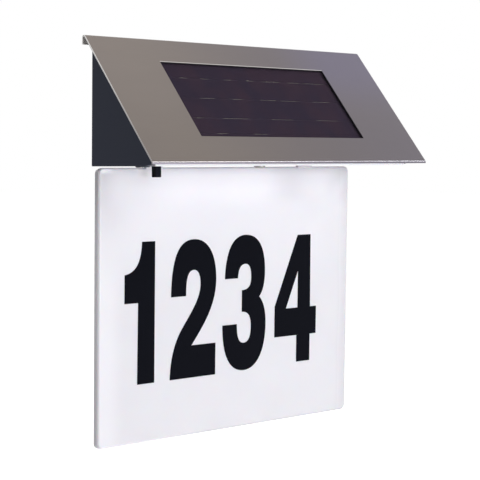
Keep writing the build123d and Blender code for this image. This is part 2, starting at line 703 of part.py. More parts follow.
with BuildPart() as led:
    with BuildSketch(Plane.XZ):
        with BuildLine():
            Polyline((0, 0), (1.9, 0), (1.9, -0.9), (LED_R, -0.9), (LED_R, LED_R - LED_HEIGHT))
            CenterArc((0, LED_R - LED_HEIGHT), LED_R, 270, 90)
            Line((0, -LED_HEIGHT), (0, 0))
        make_face()
    revolve(axis=Axis.Z)
    with BuildSketch(Plane.XY):
        with Locations((-LEG[1], 0), (LEG[1], 0)):
            Circle(LEG[0])
    extrude(amount=BOARD_THICK + LEG[2])

with BuildPart() as leds:
    with Locations(*[(x, LED_Y, BOARD_Z) for x in LED_X]):
        add(led.part)

with BuildPart() as light_diffuser:
    with BuildSketch(above_floor(0)):
        with Locations(on_floor(0, DIFFUSER_REAR - DIFFUSER[1] / 2)):
            Rectangle(*DIFFUSER)
        for side in (-1, 1):
            with Locations(on_floor(side * TONGUE_X, (TONGUE_FRONT + TONGUE_BACK) / 2)):
                Rectangle(*TONGUE_SLOT, mode=Mode.SUBTRACT)
        with Locations(on_floor(SWITCH_SLOT_X, SWITCH_Y)):
            Rectangle(*SWITCH_SLOT, mode=Mode.SUBTRACT)
        with Locations(on_floor(0, FLOOR_SCREW_Y)):
            Circle(FLOOR_SCREW_HOLE, mode=Mode.SUBTRACT)
        with Locations(on_floor(PLATE_SCREW_X, SWITCH_Y)):
            Circle(PLATE_SCREW_HOLE, mode=Mode.SUBTRACT)
    extrude(amount=RIM_DEPTH)

# ---------------------------------------------------------------- slide switch
SLIDER = (5.1, 3.2, 3.2)
SLIDER_UP = WALL + 1.8
SLIDER_PLAY = 0.3
SWITCH_BODY = (13.0, 5.6, 6.5)
SWITCH_BASE = 1.5
with BuildPart() as switch_body:
    with BuildSketch(above_floor(WALL)):
        with Locations(on_floor(SWITCH_SLOT_X, SWITCH_Y)):
            Rectangle(SWITCH_BODY[0], SWITCH_BODY[1])
    extrude(amount=SWITCH_BODY[2])
    with BuildSketch(above_floor(WALL + SWITCH_BASE)):
        with Locations(on_floor(SWITCH_SLOT_X, SWITCH_Y)):
            Rectangle(SLIDER[0] + SWITCH_TRAVEL + 2 * SLIDER_PLAY, SLIDER[1] + 2 * SLIDER_PLAY)
    extrude(amount=SLIDER[2] + 2 * SLIDER_PLAY, mode=Mode.SUBTRACT)
    with BuildSketch(above_floor(0)):
        with Locations(on_floor(SWITCH_SLOT_X, SWITCH_Y)):
            Rectangle(*SWITCH_SLOT)
    extrude(amount=WALL + 2 * SWITCH_BASE, mode=Mode.SUBTRACT)

KNOB_HEIGHT = floor_z(SWITCH_Y, 0) - KNOB_BOTTOM
with BuildPart() as switch_knob:
    with BuildSketch(above_floor(-KNOB_HEIGHT)):
        with Locations(on_floor(KNOB_X, SWITCH_Y)):
            Rectangle(*KNOB)
    extrude(amount=KNOB_HEIGHT + SLIDER_UP)
    tip = switch_knob.faces().sort_by(Axis.Z)[0]
    fillet(tip.edges(), 0.35)
    with BuildSketch(above_floor(SLIDER_UP)):
        with Locations(on_floor(KNOB_X, SWITCH_Y)):
            Rectangle(SLIDER[0], SLIDER[1])
    extrude(amount=SLIDER[2])

# plate at the left end of the knob's slot, round at its own left end
PLATE_R = SWITCH_PLATE[1] / 2
with BuildPart() as switch_plate:
    with BuildSketch(above_floor(-SWITCH_PLATE[2])):
        with Locations(on_floor(SWITCH_PLATE_LEFT + PLATE_R, SWITCH_Y)):
            Circle(PLATE_R)
        with Locations(on_floor(SWITCH_PLATE_LEFT + (SWITCH_PLATE[0] + PLATE_R) / 2, SWITCH_Y)):
            Rectangle(SWITCH_PLATE[0] - PLATE_R, SWITCH_PLATE[1])
        with Locations(on_floor(PLATE_SCREW_X, SWITCH_Y)):
            Circle(PLATE_SCREW_HOLE, mode=Mode.SUBTRACT)
    extrude(amount=SWITCH_PLATE[2])

PLATE_SCREW_PART = pan_screw(1.8, 0.5, PLATE_SCREW_HOLE - SHANK_PLAY, 5.4)
with BuildPart() as plate_screw:
    with Locations(downward(PLATE_SCREW_X, SWITCH_Y, -SWITCH_PLATE[2])):
        add(PLATE_SCREW_PART)

# ---------------------------------------------------------------- electronics
POSTS = (64.0, 10.0)
with BuildPart() as circuit_tray:
    with BuildSketch(above_floor(WALL)):
        with Locations(on_floor(*TRAY_AT)):
            RectangleRounded(*TRAY, 2.0)
    extrude(amount=TRAY_THICK)
    with BuildSketch(above_floor(WALL)):
        with Locations(on_floor(*TRAY_AT)):
            with GridLocations(*POSTS, 2, 2):
                Circle(2.0)
    extrude(amount=MAIN_BOARD_UP - WALL)
    with BuildSketch(above_floor(WALL)):
        with Locations(on_floor(0, FLOOR_SCREW_Y)):
            Circle(3.2)
    extrude(amount=MAIN_BOARD_UP - WALL - 0.5)
    with BuildSketch(above_floor(WALL)):
        with Locations(on_floor(0, FLOOR_SCREW_Y)):
            Circle(FLOOR_SHANK_R + SHANK_PLAY)
    extrude(amount=MAIN_BOARD_UP - WALL - 0.8, mode=Mode.SUBTRACT)
    with BuildSketch(above_floor(MAIN_BOARD_UP)):
        with Locations(on_floor(*TRAY_AT)):
            with GridLocations(*POSTS, 2, 2):
                Circle(0.8)
    extrude(amount=-4.0, mode=Mode.SUBTRACT)

with BuildPart() as circuit_board:
    with BuildSketch(above_floor(MAIN_BOARD_UP)):
        with Locations(on_floor(*TRAY_AT)):
            Rectangle(MAIN_BOARD[0], MAIN_BOARD[1])
            with GridLocations(*POSTS, 2, 2):
                Circle(0.9, mode=Mode.SUBTRACT)
    extrude(amount=MAIN_BOARD[2])

BOARD_TOP = MAIN_BOARD_UP + MAIN_BOARD[2]
CHIP = (6.0, 5.0, 1.5)
CHIP_AT = (13.0, -31.0)
COIL_CAN = (3.2, 4.0)
COIL_CAN_AT = (31.0, -27.5)
CAPACITOR = (2.6, 5.0)
CAPACITOR_AT = (-9.0, -27.5)
SMALL_PART = (2.0, 1.2, 0.7)
SMALL_PARTS = ((2.0, -32.0), (5.5, -32.0), (9.0, -25.0), (27.0, -33.5), (38.0, -33.5))
with BuildPart() as board_parts:
    with BuildSketch(above_floor(BOARD_TOP)):
        with Locations(on_floor(*CHIP_AT)):
            Rectangle(CHIP[0], CHIP[1])
    extrude(amount=CHIP[2])
    for place, (can_r, can_height) in ((COIL_CAN_AT, COIL_CAN), (CAPACITOR_AT, CAPACITOR)):
        with BuildSketch(above_floor(BOARD_TOP)):
            with Locations(on_floor(*place)):
                Circle(can_r)
        extrude(amount=can_height)
    with BuildSketch(above_floor(BOARD_TOP)):
        with Locations(*[on_floor(x, y) for x, y in SMALL_PARTS]):
            Rectangle(SMALL_PART[0], SMALL_PART[1])
    extrude(amount=SMALL_PART[2])

BOARD_SCREW_PART = pan_screw(1.6, 0.9, 0.77, 5.0)
with BuildPart() as board_screws:
    with Locations(above_floor(BOARD_TOP)):
        with Locations(on_floor(*TRAY_AT)):
            with GridLocations(*POSTS, 2, 2):
                add(BOARD_SCREW_PART)

# ---------------------------------------------------------------- inner leads
LEAD_BEND = 1.4
LANDING = 0.03


def on_board(x, y, rise=LANDING):
    """Point over the main board's upper face, by default just where a lead lands."""
    return (x, y, floor_z(y, BOARD_TOP) + rise)


def solar_route(x):
    """From a solder point behind the laminate, through the pocket, down to the main board."""
    start = under_roof(POCKET_FLOOR).from_local_coords((x, SOLDER_AT[0][1]))
    bend = under_roof(POCKET_FLOOR + 5.0).from_local_coords((x, SOLDER_AT[0][1]))
    return [tuple(start), tuple(bend), (x, bend.Y + 1.0, bend.Z - 4.0), on_board(x, bend.Y + 1.0)]


SOLAR_WIRES = [lead(solar_route(x), LEAD_BEND) for x, _ in SOLDER_AT]
BATTERY_WIRES = [
    lead([(TAB_REACH, CELL_Y, BAY_Z), (34.0, CELL_Y, BAY_Z), (37.0, -17.0, -21.0), (37.0, -25.5, -24.5),
          on_board(37.0, -25.5)], LEAD_BEND),
    lead([(-TAB_REACH, CELL_Y, BAY_Z), (-34.0, CELL_Y, BAY_Z), (-34.0, -18.0, -22.0), (-26.0, -26.0, -25.0),
          (-19.0, -28.5, -25.6), on_board(-19.0, -28.5)], LEAD_BEND),
]
LAMP_TOP = BOARD_Z + BOARD_THICK + LANDING
LAMP_BEND = 0.8
LAMP_WIRES = [
    lead([on_board(5.0, -23.5), (5.0, -23.5, -27.9), (5.0, -8.5, -27.9), (5.0, -8.5, LAMP_TOP)], LAMP_BEND),
] + [
    lead([(side * 45.0, -7.5, LAMP_TOP), (side * 45.0, -7.5, -27.9), (side * 49.0, -11.2, -27.2),
          (side * 60.0, -11.2, -27.2), (side * 63.6, -6.5, -27.9), (side * 63.6, -6.5, LAMP_TOP)], LAMP_BEND)
    for side in (-1, 1)
]
SWITCH_TOP = floor_z(SWITCH_Y, WALL + SWITCH_BODY[2]) + LANDING
SWITCH_WIRES = [
    lead([(x, SWITCH_Y, SWITCH_TOP), (x, SWITCH_Y, SWITCH_TOP + 2.6), (x + 8.0, y + 9.0, -26.0),
          (-32.0, y, -26.8), (board_x, y, -26.8), on_board(board_x, y)], LEAD_BEND)
    for x, y, board_x in ((-65.0, -31.5, -17.0), (-60.0, -24.5, -15.0))
]

with BuildPart() as solar_leads:
    add(SOLAR_WIRES)
with BuildPart() as battery_leads:
    add(BATTERY_WIRES)
with BuildPart() as lamp_leads:
    add(LAMP_WIRES)
with BuildPart() as switch_leads:
    add(SWITCH_WIRES)

PIECES = {
    "roof_cover": roof_cover,
    "roof_tape": roof_tape,
    "housing": housing,
    "rear_cover": rear_cover,
    "rear_cover_screws": rear_cover_screws,
    "battery_door": battery_door,
    "door_seal": door_seal,
    "battery_cell": battery_cell,
    "battery_contact": battery_contact,
    "battery_spring": battery_spring,
    "solar_glass": solar_glass,
    "solar_cells": solar_cells,
    "solar_backing": solar_backing,
    "solar_seal": solar_seal,
    "number_panel": number_panel,
    "digit_one": digit_one,
    "digit_two": digit_two,
    "digit_three": digit_three,
    "digit_four": digit_four,
    "panel_screws": panel_screws,
    "lamp_boards": lamp_boards,
    "leds": leds,
    "light_diffuser": light_diffuser,
    "switch_body": switch_body,
    "switch_knob": switch_knob,
    "switch_plate": switch_plate,
    "plate_screw": plate_screw,
    "circuit_tray": circuit_tray,
    "circuit_board": circuit_board,
    "board_parts": board_parts,
    "board_screws": board_screws,
    "floor_screw": floor_screw,
    "solar_leads": solar_leads,
    "battery_leads": battery_leads,
    "lamp_leads": lamp_leads,
    "switch_leads": switch_leads,
}
for name, piece in PIECES.items():
    piece.part.label = name
    export_step(piece.part, f"parts/{name}.step")
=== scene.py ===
"""Studio scene of an illuminated house number sign: finishes for its solids, and the details that only show.

Everything is in metres in the row frame. The wall is the plane y = 0, the sign faces -y, and the origin lies
midway between the two keyholes.
"""
from __future__ import annotations

import json
import logging
import math
from dataclasses import dataclass
from enum import Enum
from typing import Sequence

import bpy
import numpy as np
from mathutils import Matrix, Vector


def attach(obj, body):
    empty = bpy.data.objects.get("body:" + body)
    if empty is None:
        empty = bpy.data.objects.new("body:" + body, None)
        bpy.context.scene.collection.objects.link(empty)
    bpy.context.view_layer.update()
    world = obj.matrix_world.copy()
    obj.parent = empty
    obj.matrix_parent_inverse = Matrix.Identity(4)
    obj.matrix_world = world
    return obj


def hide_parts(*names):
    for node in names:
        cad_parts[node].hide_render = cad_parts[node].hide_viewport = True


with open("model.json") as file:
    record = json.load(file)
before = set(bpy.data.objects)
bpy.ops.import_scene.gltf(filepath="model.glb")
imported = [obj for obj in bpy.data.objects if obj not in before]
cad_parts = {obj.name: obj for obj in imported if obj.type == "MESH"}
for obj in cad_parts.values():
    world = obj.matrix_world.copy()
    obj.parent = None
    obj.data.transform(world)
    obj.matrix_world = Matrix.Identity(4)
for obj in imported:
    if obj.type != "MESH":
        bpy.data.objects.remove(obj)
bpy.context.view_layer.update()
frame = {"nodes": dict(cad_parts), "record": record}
NODES: dict[str, bpy.types.Object] = frame["nodes"]

log = logging.getLogger("house_number_sign")

MM = 0.001
Colour = tuple[float, float, float]
Triple = tuple[float, float, float]
Pair = tuple[float, float]
WHITE: Colour = (1.0, 1.0, 1.0)

# Sizes that the solids are built to, in metres.
ROOF_HALF = 97.5 * MM
ROOF_TOP = 24.2 * MM
ROOF_REACH = 55.4 * MM
CREASE_Z = -36.8 * MM
LIP_DROP = 1.05 * MM
FLANGE_DROP = 4.65 * MM
SLOPE = math.radians(48.897)
WINDOW_HALF = (58.15 * MM, 24.55 * MM)
WINDOW_UP = 40.9 * MM
WINDOW_TOP = WINDOW_UP + WINDOW_HALF[1]
CELL_TOP = 1.75 * MM
BACKING_FOOT = 3.25 * MM
PANEL_FRONT = -4.4 * MM
PANEL_BACK = -0.7 * MM
PANEL_TOP = -40.75 * MM
DIFFUSER_FRONT = -47.0 * MM
FLOOR_FRONT = (-54.1 * MM, -38.85 * MM)
FLOOR_TILT = math.radians(1.3236)
BOARD_TOP = 9.6 * MM
LAMPS_X = (-78.0 * MM, -26.0 * MM, 26.0 * MM, 78.0 * MM)
LAMPS_Y = -4.0 * MM


class Streak(Enum):
    """Direction in which a rolled or brushed sheet shows its lines."""

    ACROSS = (1.0, 90.0, 90.0)
    UPRIGHT = (90.0, 90.0, 1.0)


class Blend(Enum):
    """How two colours are combined."""

    MIX = "MIX"
    MULTIPLY = "MULTIPLY"


class Val:
    """One output of a shader node. Arithmetic on it adds Math nodes to its tree."""

    def __init__(self, graph: "Graph", socket: bpy.types.NodeSocket | None) -> None:
        """Wrap a socket of a graph."""
        self.graph = graph
        self.socket = socket

    def math(self, operation: str, *others: "Val | float") -> "Val":
        """Apply a Math node to this value.

        Args:
            operation: name of the Math node's operation.
            others: its further inputs.

        Returns:
            The result.
        """
        return self.graph.math(operation, self, *others)

    def __add__(self, other: "Val | float") -> "Val":
        """Return self + other."""
        return self.math("ADD", other)

    __radd__ = __add__

    def __mul__(self, other: "Val | float") -> "Val":
        """Return self * other."""
        return self.math("MULTIPLY", other)

    __rmul__ = __mul__

    def __sub__(self, other: "Val | float") -> "Val":
        """Return self - other."""
        return self.math("SUBTRACT", other)

    def __rsub__(self, other: "Val | float") -> "Val":
        """Return other - self."""
        return self.graph.math("SUBTRACT", other, self)

    def __truediv__(self, other: "Val | float") -> "Val":
        """Return self / other."""
        return self.math("DIVIDE", other)

    def __abs__(self) -> "Val":
        """Return the absolute value."""
        return self.math("ABSOLUTE")

    def __gt__(self, other: "Val | float") -> "Val":
        """Return 1 where self is greater than other, else 0."""
        return self.math("GREATER_THAN", other)

    def __lt__(self, other: "Val | float") -> "Val":
        """Return 1 where self is less than other, else 0."""
        return self.math("LESS_THAN", other)

    def ramp(self, low: float, high: float) -> "Val":
        """Rise smoothly from 0 at low to 1 at high, or fall where low is the greater."""
        settings = {"interpolation_type": "SMOOTHSTEP"}
        values = {"Value": self, "From Min": low, "From Max": high}
        return self.graph.add("ShaderNodeMapRange", settings, values)


class Graph:
    """A node tree that is built with expressions."""

    def __init__(self, tree: bpy.types.NodeTree) -> None:
        """Start with an empty tree."""
        self.tree = tree
        tree.nodes.clear()

    def add(
        self, kind: str, settings: dict | None = None, values: dict | None = None, output: int | str = 0
    ) -> Val:
        """Add one node.

        Args:
            kind: the node's type.
            settings: its properties, set before anything is plugged in.
            values: a number, a colour or another node's output for each socket, by name or index.
            output: which of its outputs is wanted.

        Returns:
            That output.
        """
        node = self.tree.nodes.new(kind)
        for key, value in (settings or {}).items():
            setattr(node, key, value)
        for key, value in (values or {}).items():
            socket = node.inputs[key]
            if isinstance(value, Val):
                self.tree.links.new(value.socket, socket)
            elif isinstance(value, tuple) and len(value) == 3 and socket.type == "RGBA":
                socket.default_value = (*value, 1.0)
            else:
                socket.default_value = value
        return Val(self, node.outputs[output] if node.outputs else None)

    def math(self, operation: str, *inputs: Val | float) -> Val:
        """Add a Math node for the inputs and return its result."""
        return self.add("ShaderNodeMath", {"operation": operation}, dict(enumerate(inputs)))

    def mix(
        self, factor: Val | float, first: Val | Colour, second: Val | Colour, blend: Blend = Blend.MIX
    ) -> Val:
        """Go from the first colour to the second as the factor goes from 0 to 1."""
        settings = {"data_type": "RGBA", "blend_type": blend.value, "clamp_factor": True}
        return self.add("ShaderNodeMix", settings, {0: factor, 6: first, 7: second}, 2)

    def grey(self, value: Val, tint: Colour = WHITE) -> Val:
        """Turn a number into a colour, tinted by a fixed colour."""
        return self.add("ShaderNodeCombineColor", values=dict(enumerate(value * share for share in tint)))

    def place(self) -> Val:
        """Return the point that is shaded, in the row frame."""
        return self.add("ShaderNodeTexCoord", output="Object")

    def scaled(self, vector: Val, factors: Sequence[float]) -> Val:
        """Multiply a vector by three factors."""
        return self.add("ShaderNodeVectorMath", {"operation": "MULTIPLY"}, {0: vector, 1: tuple(factors)})

    def parts(self, vector: Val) -> tuple[Val, Val, Val]:
        """Split a vector into its three numbers."""
        split = self.add("ShaderNodeSeparateXYZ", values={0: vector})
        return split, Val(self, split.socket.node.outputs[1]), Val(self, split.socket.node.outputs[2])

    def slope(self) -> tuple[Val, Val]:
        """Return how far up the roof's slope the shaded point is, and how high above its outer face."""
        _, y, z = self.parts(self.place())
        up = (y + ROOF_REACH) * math.cos(SLOPE) + (z - CREASE_Z) * math.sin(SLOPE)
        height = (z - CREASE_Z) * math.cos(SLOPE) - (y + ROOF_REACH) * math.sin(SLOPE)
        return up, height

    def noise(self, size: float, detail: float = 2.0, stretch: Sequence[float] = (1.0, 1.0, 1.0)) -> Val:
        """Cloudy values from 0 to 1.

        Args:
            size: width of a feature in metres.
            detail: number of finer layers.
            stretch: factors on the coordinates before they are read.

        Returns:
            The value at the shaded point.
        """
        vector = self.scaled(self.place(), stretch)
        values = {"Vector": vector, "Scale": 1.0 / size, "Detail": detail}
        return self.add("ShaderNodeTexNoise", values=values)

    def cells(self, size: float, output: str = "Distance") -> Val:
        """Values of a pattern of cells of about that size in metres."""
        values = {"Vector": self.place(), "Scale": 1.0 / size}
        return self.add("ShaderNodeTexVoronoi", {"feature": "F1"}, values, output)

    def bump(self, height: Val, depth: float, strength: float = 1.0) -> Val:
        """Return a normal that is tilted by a height from 0 to 1 times a depth in metres."""
        return self.add("ShaderNodeBump", values={"Height": height, "Distance": depth, "Strength": strength})


def srgb(red: float, green: float, blue: float) -> Colour:
    """Turn 0 to 255 display values into the linear colour that a socket takes."""
    shares = (channel / 255.0 for channel in (red, green, blue))
    return tuple(c / 12.92 if c <= 0.04045 else ((c + 0.055) / 1.055) ** 2.4 for c in shares)


def material(name: str) -> tuple[bpy.types.Material, Graph]:
    """Make an empty material and the graph of its nodes."""
    made = bpy.data.materials.new(name)
    made.use_nodes = True
    return made, Graph(made.node_tree)


def finish_surface(graph: Graph, values: dict) -> None:
    """Add the closing surface shader with these socket values."""
    shader = graph.add("ShaderNodeBsdfPrincipled", values=values)
    graph.add("ShaderNodeOutputMaterial", values={"Surface": shader})


@dataclass(frozen=True)
class RoofSteel:
    """Brushed stainless sheet: satin outside with painted reflection and shade, a mill finish inside, a painted
    highlight along the bend and bare cut edges.
    """

    # Steel tone with painted reflection: warm at the left, cool at the right.
    steel_warm_reflection: Colour = srgb(136, 127, 120)
    steel_cool_reflection: Colour = srgb(125, 119, 127)
    # Painted reflection of the sky, bluish, high up at the right.
    sky_reflection: Colour = srgb(129, 124, 146)
    edge: Colour = srgb(222, 220, 218)
    dull_edge: Colour = srgb(161, 157, 158)
    # Painted shade on the window's cut faces, which lie in shadow.
    shaded_window_edge: Colour = srgb(66, 61, 66)
    # Painted highlight along the bend, brighter towards the right.
    bend: Colour = srgb(141, 138, 144)
    far_bend_highlight: Colour = srgb(186, 184, 192)
    # Painted light on the lip, lighter at the left and darker as painted shade towards the right.
    lip: Colour = srgb(172, 167, 178)
    far_lip_shade: Colour = srgb(126, 121, 132)
    mill: Colour = srgb(205, 202, 200)
    roughness: float = 0.34
    skin: float = 0.03 * MM
    half_sheet: float = 0.4 * MM
    nose: float = 0.6 * MM
    flange_depth: float = 1.0 * MM
    bend_top: float = -36.6 * MM
    bend_foot: float = -37.05 * MM
    bend_blur: float = 0.2 * MM
    lip_blur: float = 0.15 * MM
    # Painted highlight along the window's top edge.
    window_top_highlight_width: float = 0.5 * MM
    window_top_highlight_strength: float = 0.6
    reflection_tint_x: Pair = (-0.09, 0.09)
    sky_reflection_x: Pair = (0.02, 0.07)
    sky_reflection_z: Pair = (-0.015, 0.015)
    sky_reflection_share: float = 0.6
    # Painted shade: the face gets darker low down and towards the right.
    low_shade_z: Pair = (0.03, -0.05)
    low_painted_shade: float = 0.22
    right_shade_x: Pair = (-0.09, 0.03)
    right_painted_shade: float = 0.18
    far_bend_highlight_x: Pair = (0.025, 0.095)
    far_lip_shade_x: Pair = (-0.09, 0.05)
    rise_x: Pair = (0.0, 0.03)
    rise: float = 0.05 * MM
    drop_x: Pair = (0.03, -0.05)
    drop: float = 0.2 * MM

    def edge_masks(self, graph: Graph) -> tuple[Val, Val]:
        """Return 1 on the sheet's cut faces and 0 elsewhere, first for its rim and then for its window."""
        x, y, z = graph.parts(graph.place())
        up, _ = graph.slope()
        sides = abs(x) > ROOF_HALF - self.skin
        across = abs(x) < WINDOW_HALF[0] + self.skin
        window = across * (abs(up - WINDOW_UP) < WINDOW_HALF[1] + self.skin)
        lip = z < CREASE_Z - LIP_DROP + self.skin
        flange = (y > -self.flange_depth) * (z < ROOF_TOP - FLANGE_DROP + self.skin)
        return graph.math("MAXIMUM", sides, graph.math("MAXIMUM", lip, flange)), window

    def inner_mask(self, graph: Graph) -> Val:
        """Return 1 on the sheet's hidden side and 0 elsewhere."""
        _, y, _ = graph.parts(graph.place())
        _, height = graph.slope()
        return (height < -self.half_sheet) * (y > self.half_sheet - ROOF_REACH) * (y < -self.half_sheet)

    def face(self, graph: Graph, streaks: Val, clouds: Val) -> Val:
        """Colour of the outer face: steel with a painted reflection that is warm at the left and cool at the
        right, a bluish painted sky reflection high up at the right, and painted shade low down and towards the
        right.
        """
        x, _, z = graph.parts(graph.place())
        bands = graph.noise(9.0 * MM, 1.0, (0.15, 1.0, 1.0))
        tone = graph.mix(x.ramp(*self.reflection_tint_x) * 0.8 + clouds * 0.2, self.steel_warm_reflection, self.steel_cool_reflection)
        tone = graph.mix(x.ramp(*self.sky_reflection_x) * z.ramp(*self.sky_reflection_z) * self.sky_reflection_share, tone, self.sky_reflection)
        shade = 0.93 + 0.10 * streaks + 0.04 * bands
        # Painted shade, darker low down and towards the right.
        shade = shade * (0.97 - self.low_painted_shade * z.ramp(*self.low_shade_z))
        shade = shade * (1.0 - self.right_painted_shade * x.ramp(*self.right_shade_x))
        return graph.mix(1.0, tone, graph.grey(shade), Blend.MULTIPLY)

    def fold(self, graph: Graph, tone: Val, front: Val) -> Val:
        """Lay the bend's painted highlight and the lip's painted light and shade below it over a tone, a little
        higher at the right.

        Args:
            graph: the material's graph.
            tone: the colour so far.
            front: 1 at the sheet's foremost part and 0 elsewhere.

        Returns:
            The colour with the bend's painted highlight and the lip's painted light and shade.
        """
        x, _, z = graph.parts(graph.place())
        level = z - self.rise * x.ramp(*self.rise_x) + self.drop * x.ramp(*self.drop_x)
        bend = graph.mix(x.ramp(*self.far_bend_highlight_x), self.bend, self.far_bend_highlight)
        tone = graph.mix(front * level.ramp(self.bend_top + self.bend_blur, self.bend_top), tone, bend)
        lip = graph.mix(x.ramp(*self.far_lip_shade_x), self.lip, self.far_lip_shade)
        return graph.mix(front * level.ramp(self.bend_foot + self.lip_blur, self.bend_foot), tone, lip)

    def window_top_highlight_mask(self, graph: Graph) -> Val:
        """Return 1 on the thin painted highlight just above the window and 0 elsewhere."""
        x, _, _ = graph.parts(graph.place())
        up, height = graph.slope()
        line = (up > WINDOW_TOP) * (up < WINDOW_TOP + self.window_top_highlight_width) * (abs(x) < WINDOW_HALF[0])
        return line * (height > -0.1 * MM)

    def build(self) -> bpy.types.Material:
        """Return the material."""
        made, graph = material("roof_steel")
        _, y, z = graph.parts(graph.place())
        streaks = graph.noise(0.25 * MM, 3.0, (0.02, 1.0, 1.0))
        clouds = graph.noise(40.0 * MM)
        front = y < self.nose - ROOF_REACH
        inside = self.inner_mask(graph)
        tone = graph.mix(inside, self.fold(graph, self.face(graph, streaks, clouds), front), self.mill)
        # Painted highlight along the window's top edge.
        tone = graph.mix(self.window_top_highlight_mask(graph) * self.window_top_highlight_strength, tone, self.edge)
        cut, window = self.edge_masks(graph)
        tone = graph.mix(cut, tone, graph.mix(z.ramp(ROOF_TOP, CREASE_Z), self.edge, self.dull_edge))
        rough = self.roughness + 0.14 * (streaks - 0.5) * (1.0 - front) + 0.05 * clouds
        finish_surface(graph, {
            "Base Color": graph.mix(window, tone, self.shaded_window_edge),
            "Metallic": 1.0 - 0.7 * inside,
            "Roughness": rough - 0.06 * cut - 0.12 * front,
            "Normal": graph.bump(streaks * (1.0 - front), 0.004 * MM, 0.6),
        })
        return made


@dataclass(frozen=True)
class MouldedPlastic:
    """Spark-eroded moulded plastic, slightly polished by handling, and darker with painted shade where light
    fails.
    """

    name: str
    colour: Colour
    roughness: float = 0.5
    grain: float = 0.35 * MM
    depth: float = 0.015 * MM
    shine: float = 0.15
    shaded: Pair = (-1.0, -2.0)

    def build(self) -> bpy.types.Material:
        """Return the material, with painted shade that darkens it as x goes from the first to the second value
        of shaded.
        """
        made, graph = material(self.name)
        grain = graph.noise(self.grain, 3.0)
        clouds = graph.noise(14.0 * MM, 3.0)
        lighter = tuple(channel * 1.35 + 0.002 for channel in self.colour)
        tone = graph.mix(grain * 0.35 + clouds * 0.5, self.colour, lighter)
        # Painted shade: the colour darkens where light fails.
        painted_shade_colour = tuple(channel * 0.15 for channel in self.colour)
        x, _, _ = graph.parts(graph.place())
        finish_surface(graph, {
            "Base Color": graph.mix(x.ramp(*self.shaded), tone, painted_shade_colour),
            "Roughness": self.roughness + 0.12 * (clouds - 0.5) + 0.1 * (grain - 0.5),
            "Specular IOR Level": self.shine,
            "Normal": graph.bump(grain, self.depth),
        })
        return made


@dataclass(frozen=True)
class BareMetal:
    """Plain drawn, plated or spring metal."""

    name: str
    colour: Colour
    roughness: float = 0.3
    streak: Streak = Streak.ACROSS

    def build(self) -> bpy.types.Material:
        """Return the material."""
        made, graph = material(self.name)
        lines = graph.noise(8.0 * MM, 3.0, self.streak.value)
        spots = graph.noise(2.5 * MM, 3.0)
        darker = tuple(channel * 0.72 for channel in self.colour)
        finish_surface(graph, {
            "Base Color": graph.mix(lines * 0.5 + spots * 0.4, self.colour, darker),
            "Metallic": 1.0,
            "Roughness": self.roughness + 0.16 * (spots - 0.5) + 0.08 * lines,
            "Normal": graph.bump(lines, 0.003 * MM, 0.5),
        })
        return made


@dataclass(frozen=True)
class Shade:
    """A stretch of the number panel's width where the painted glow is weaker, as the lamps reach it less: its
    middle, half width and depth.
    """

    middle: float
    reach: float
    depth: float


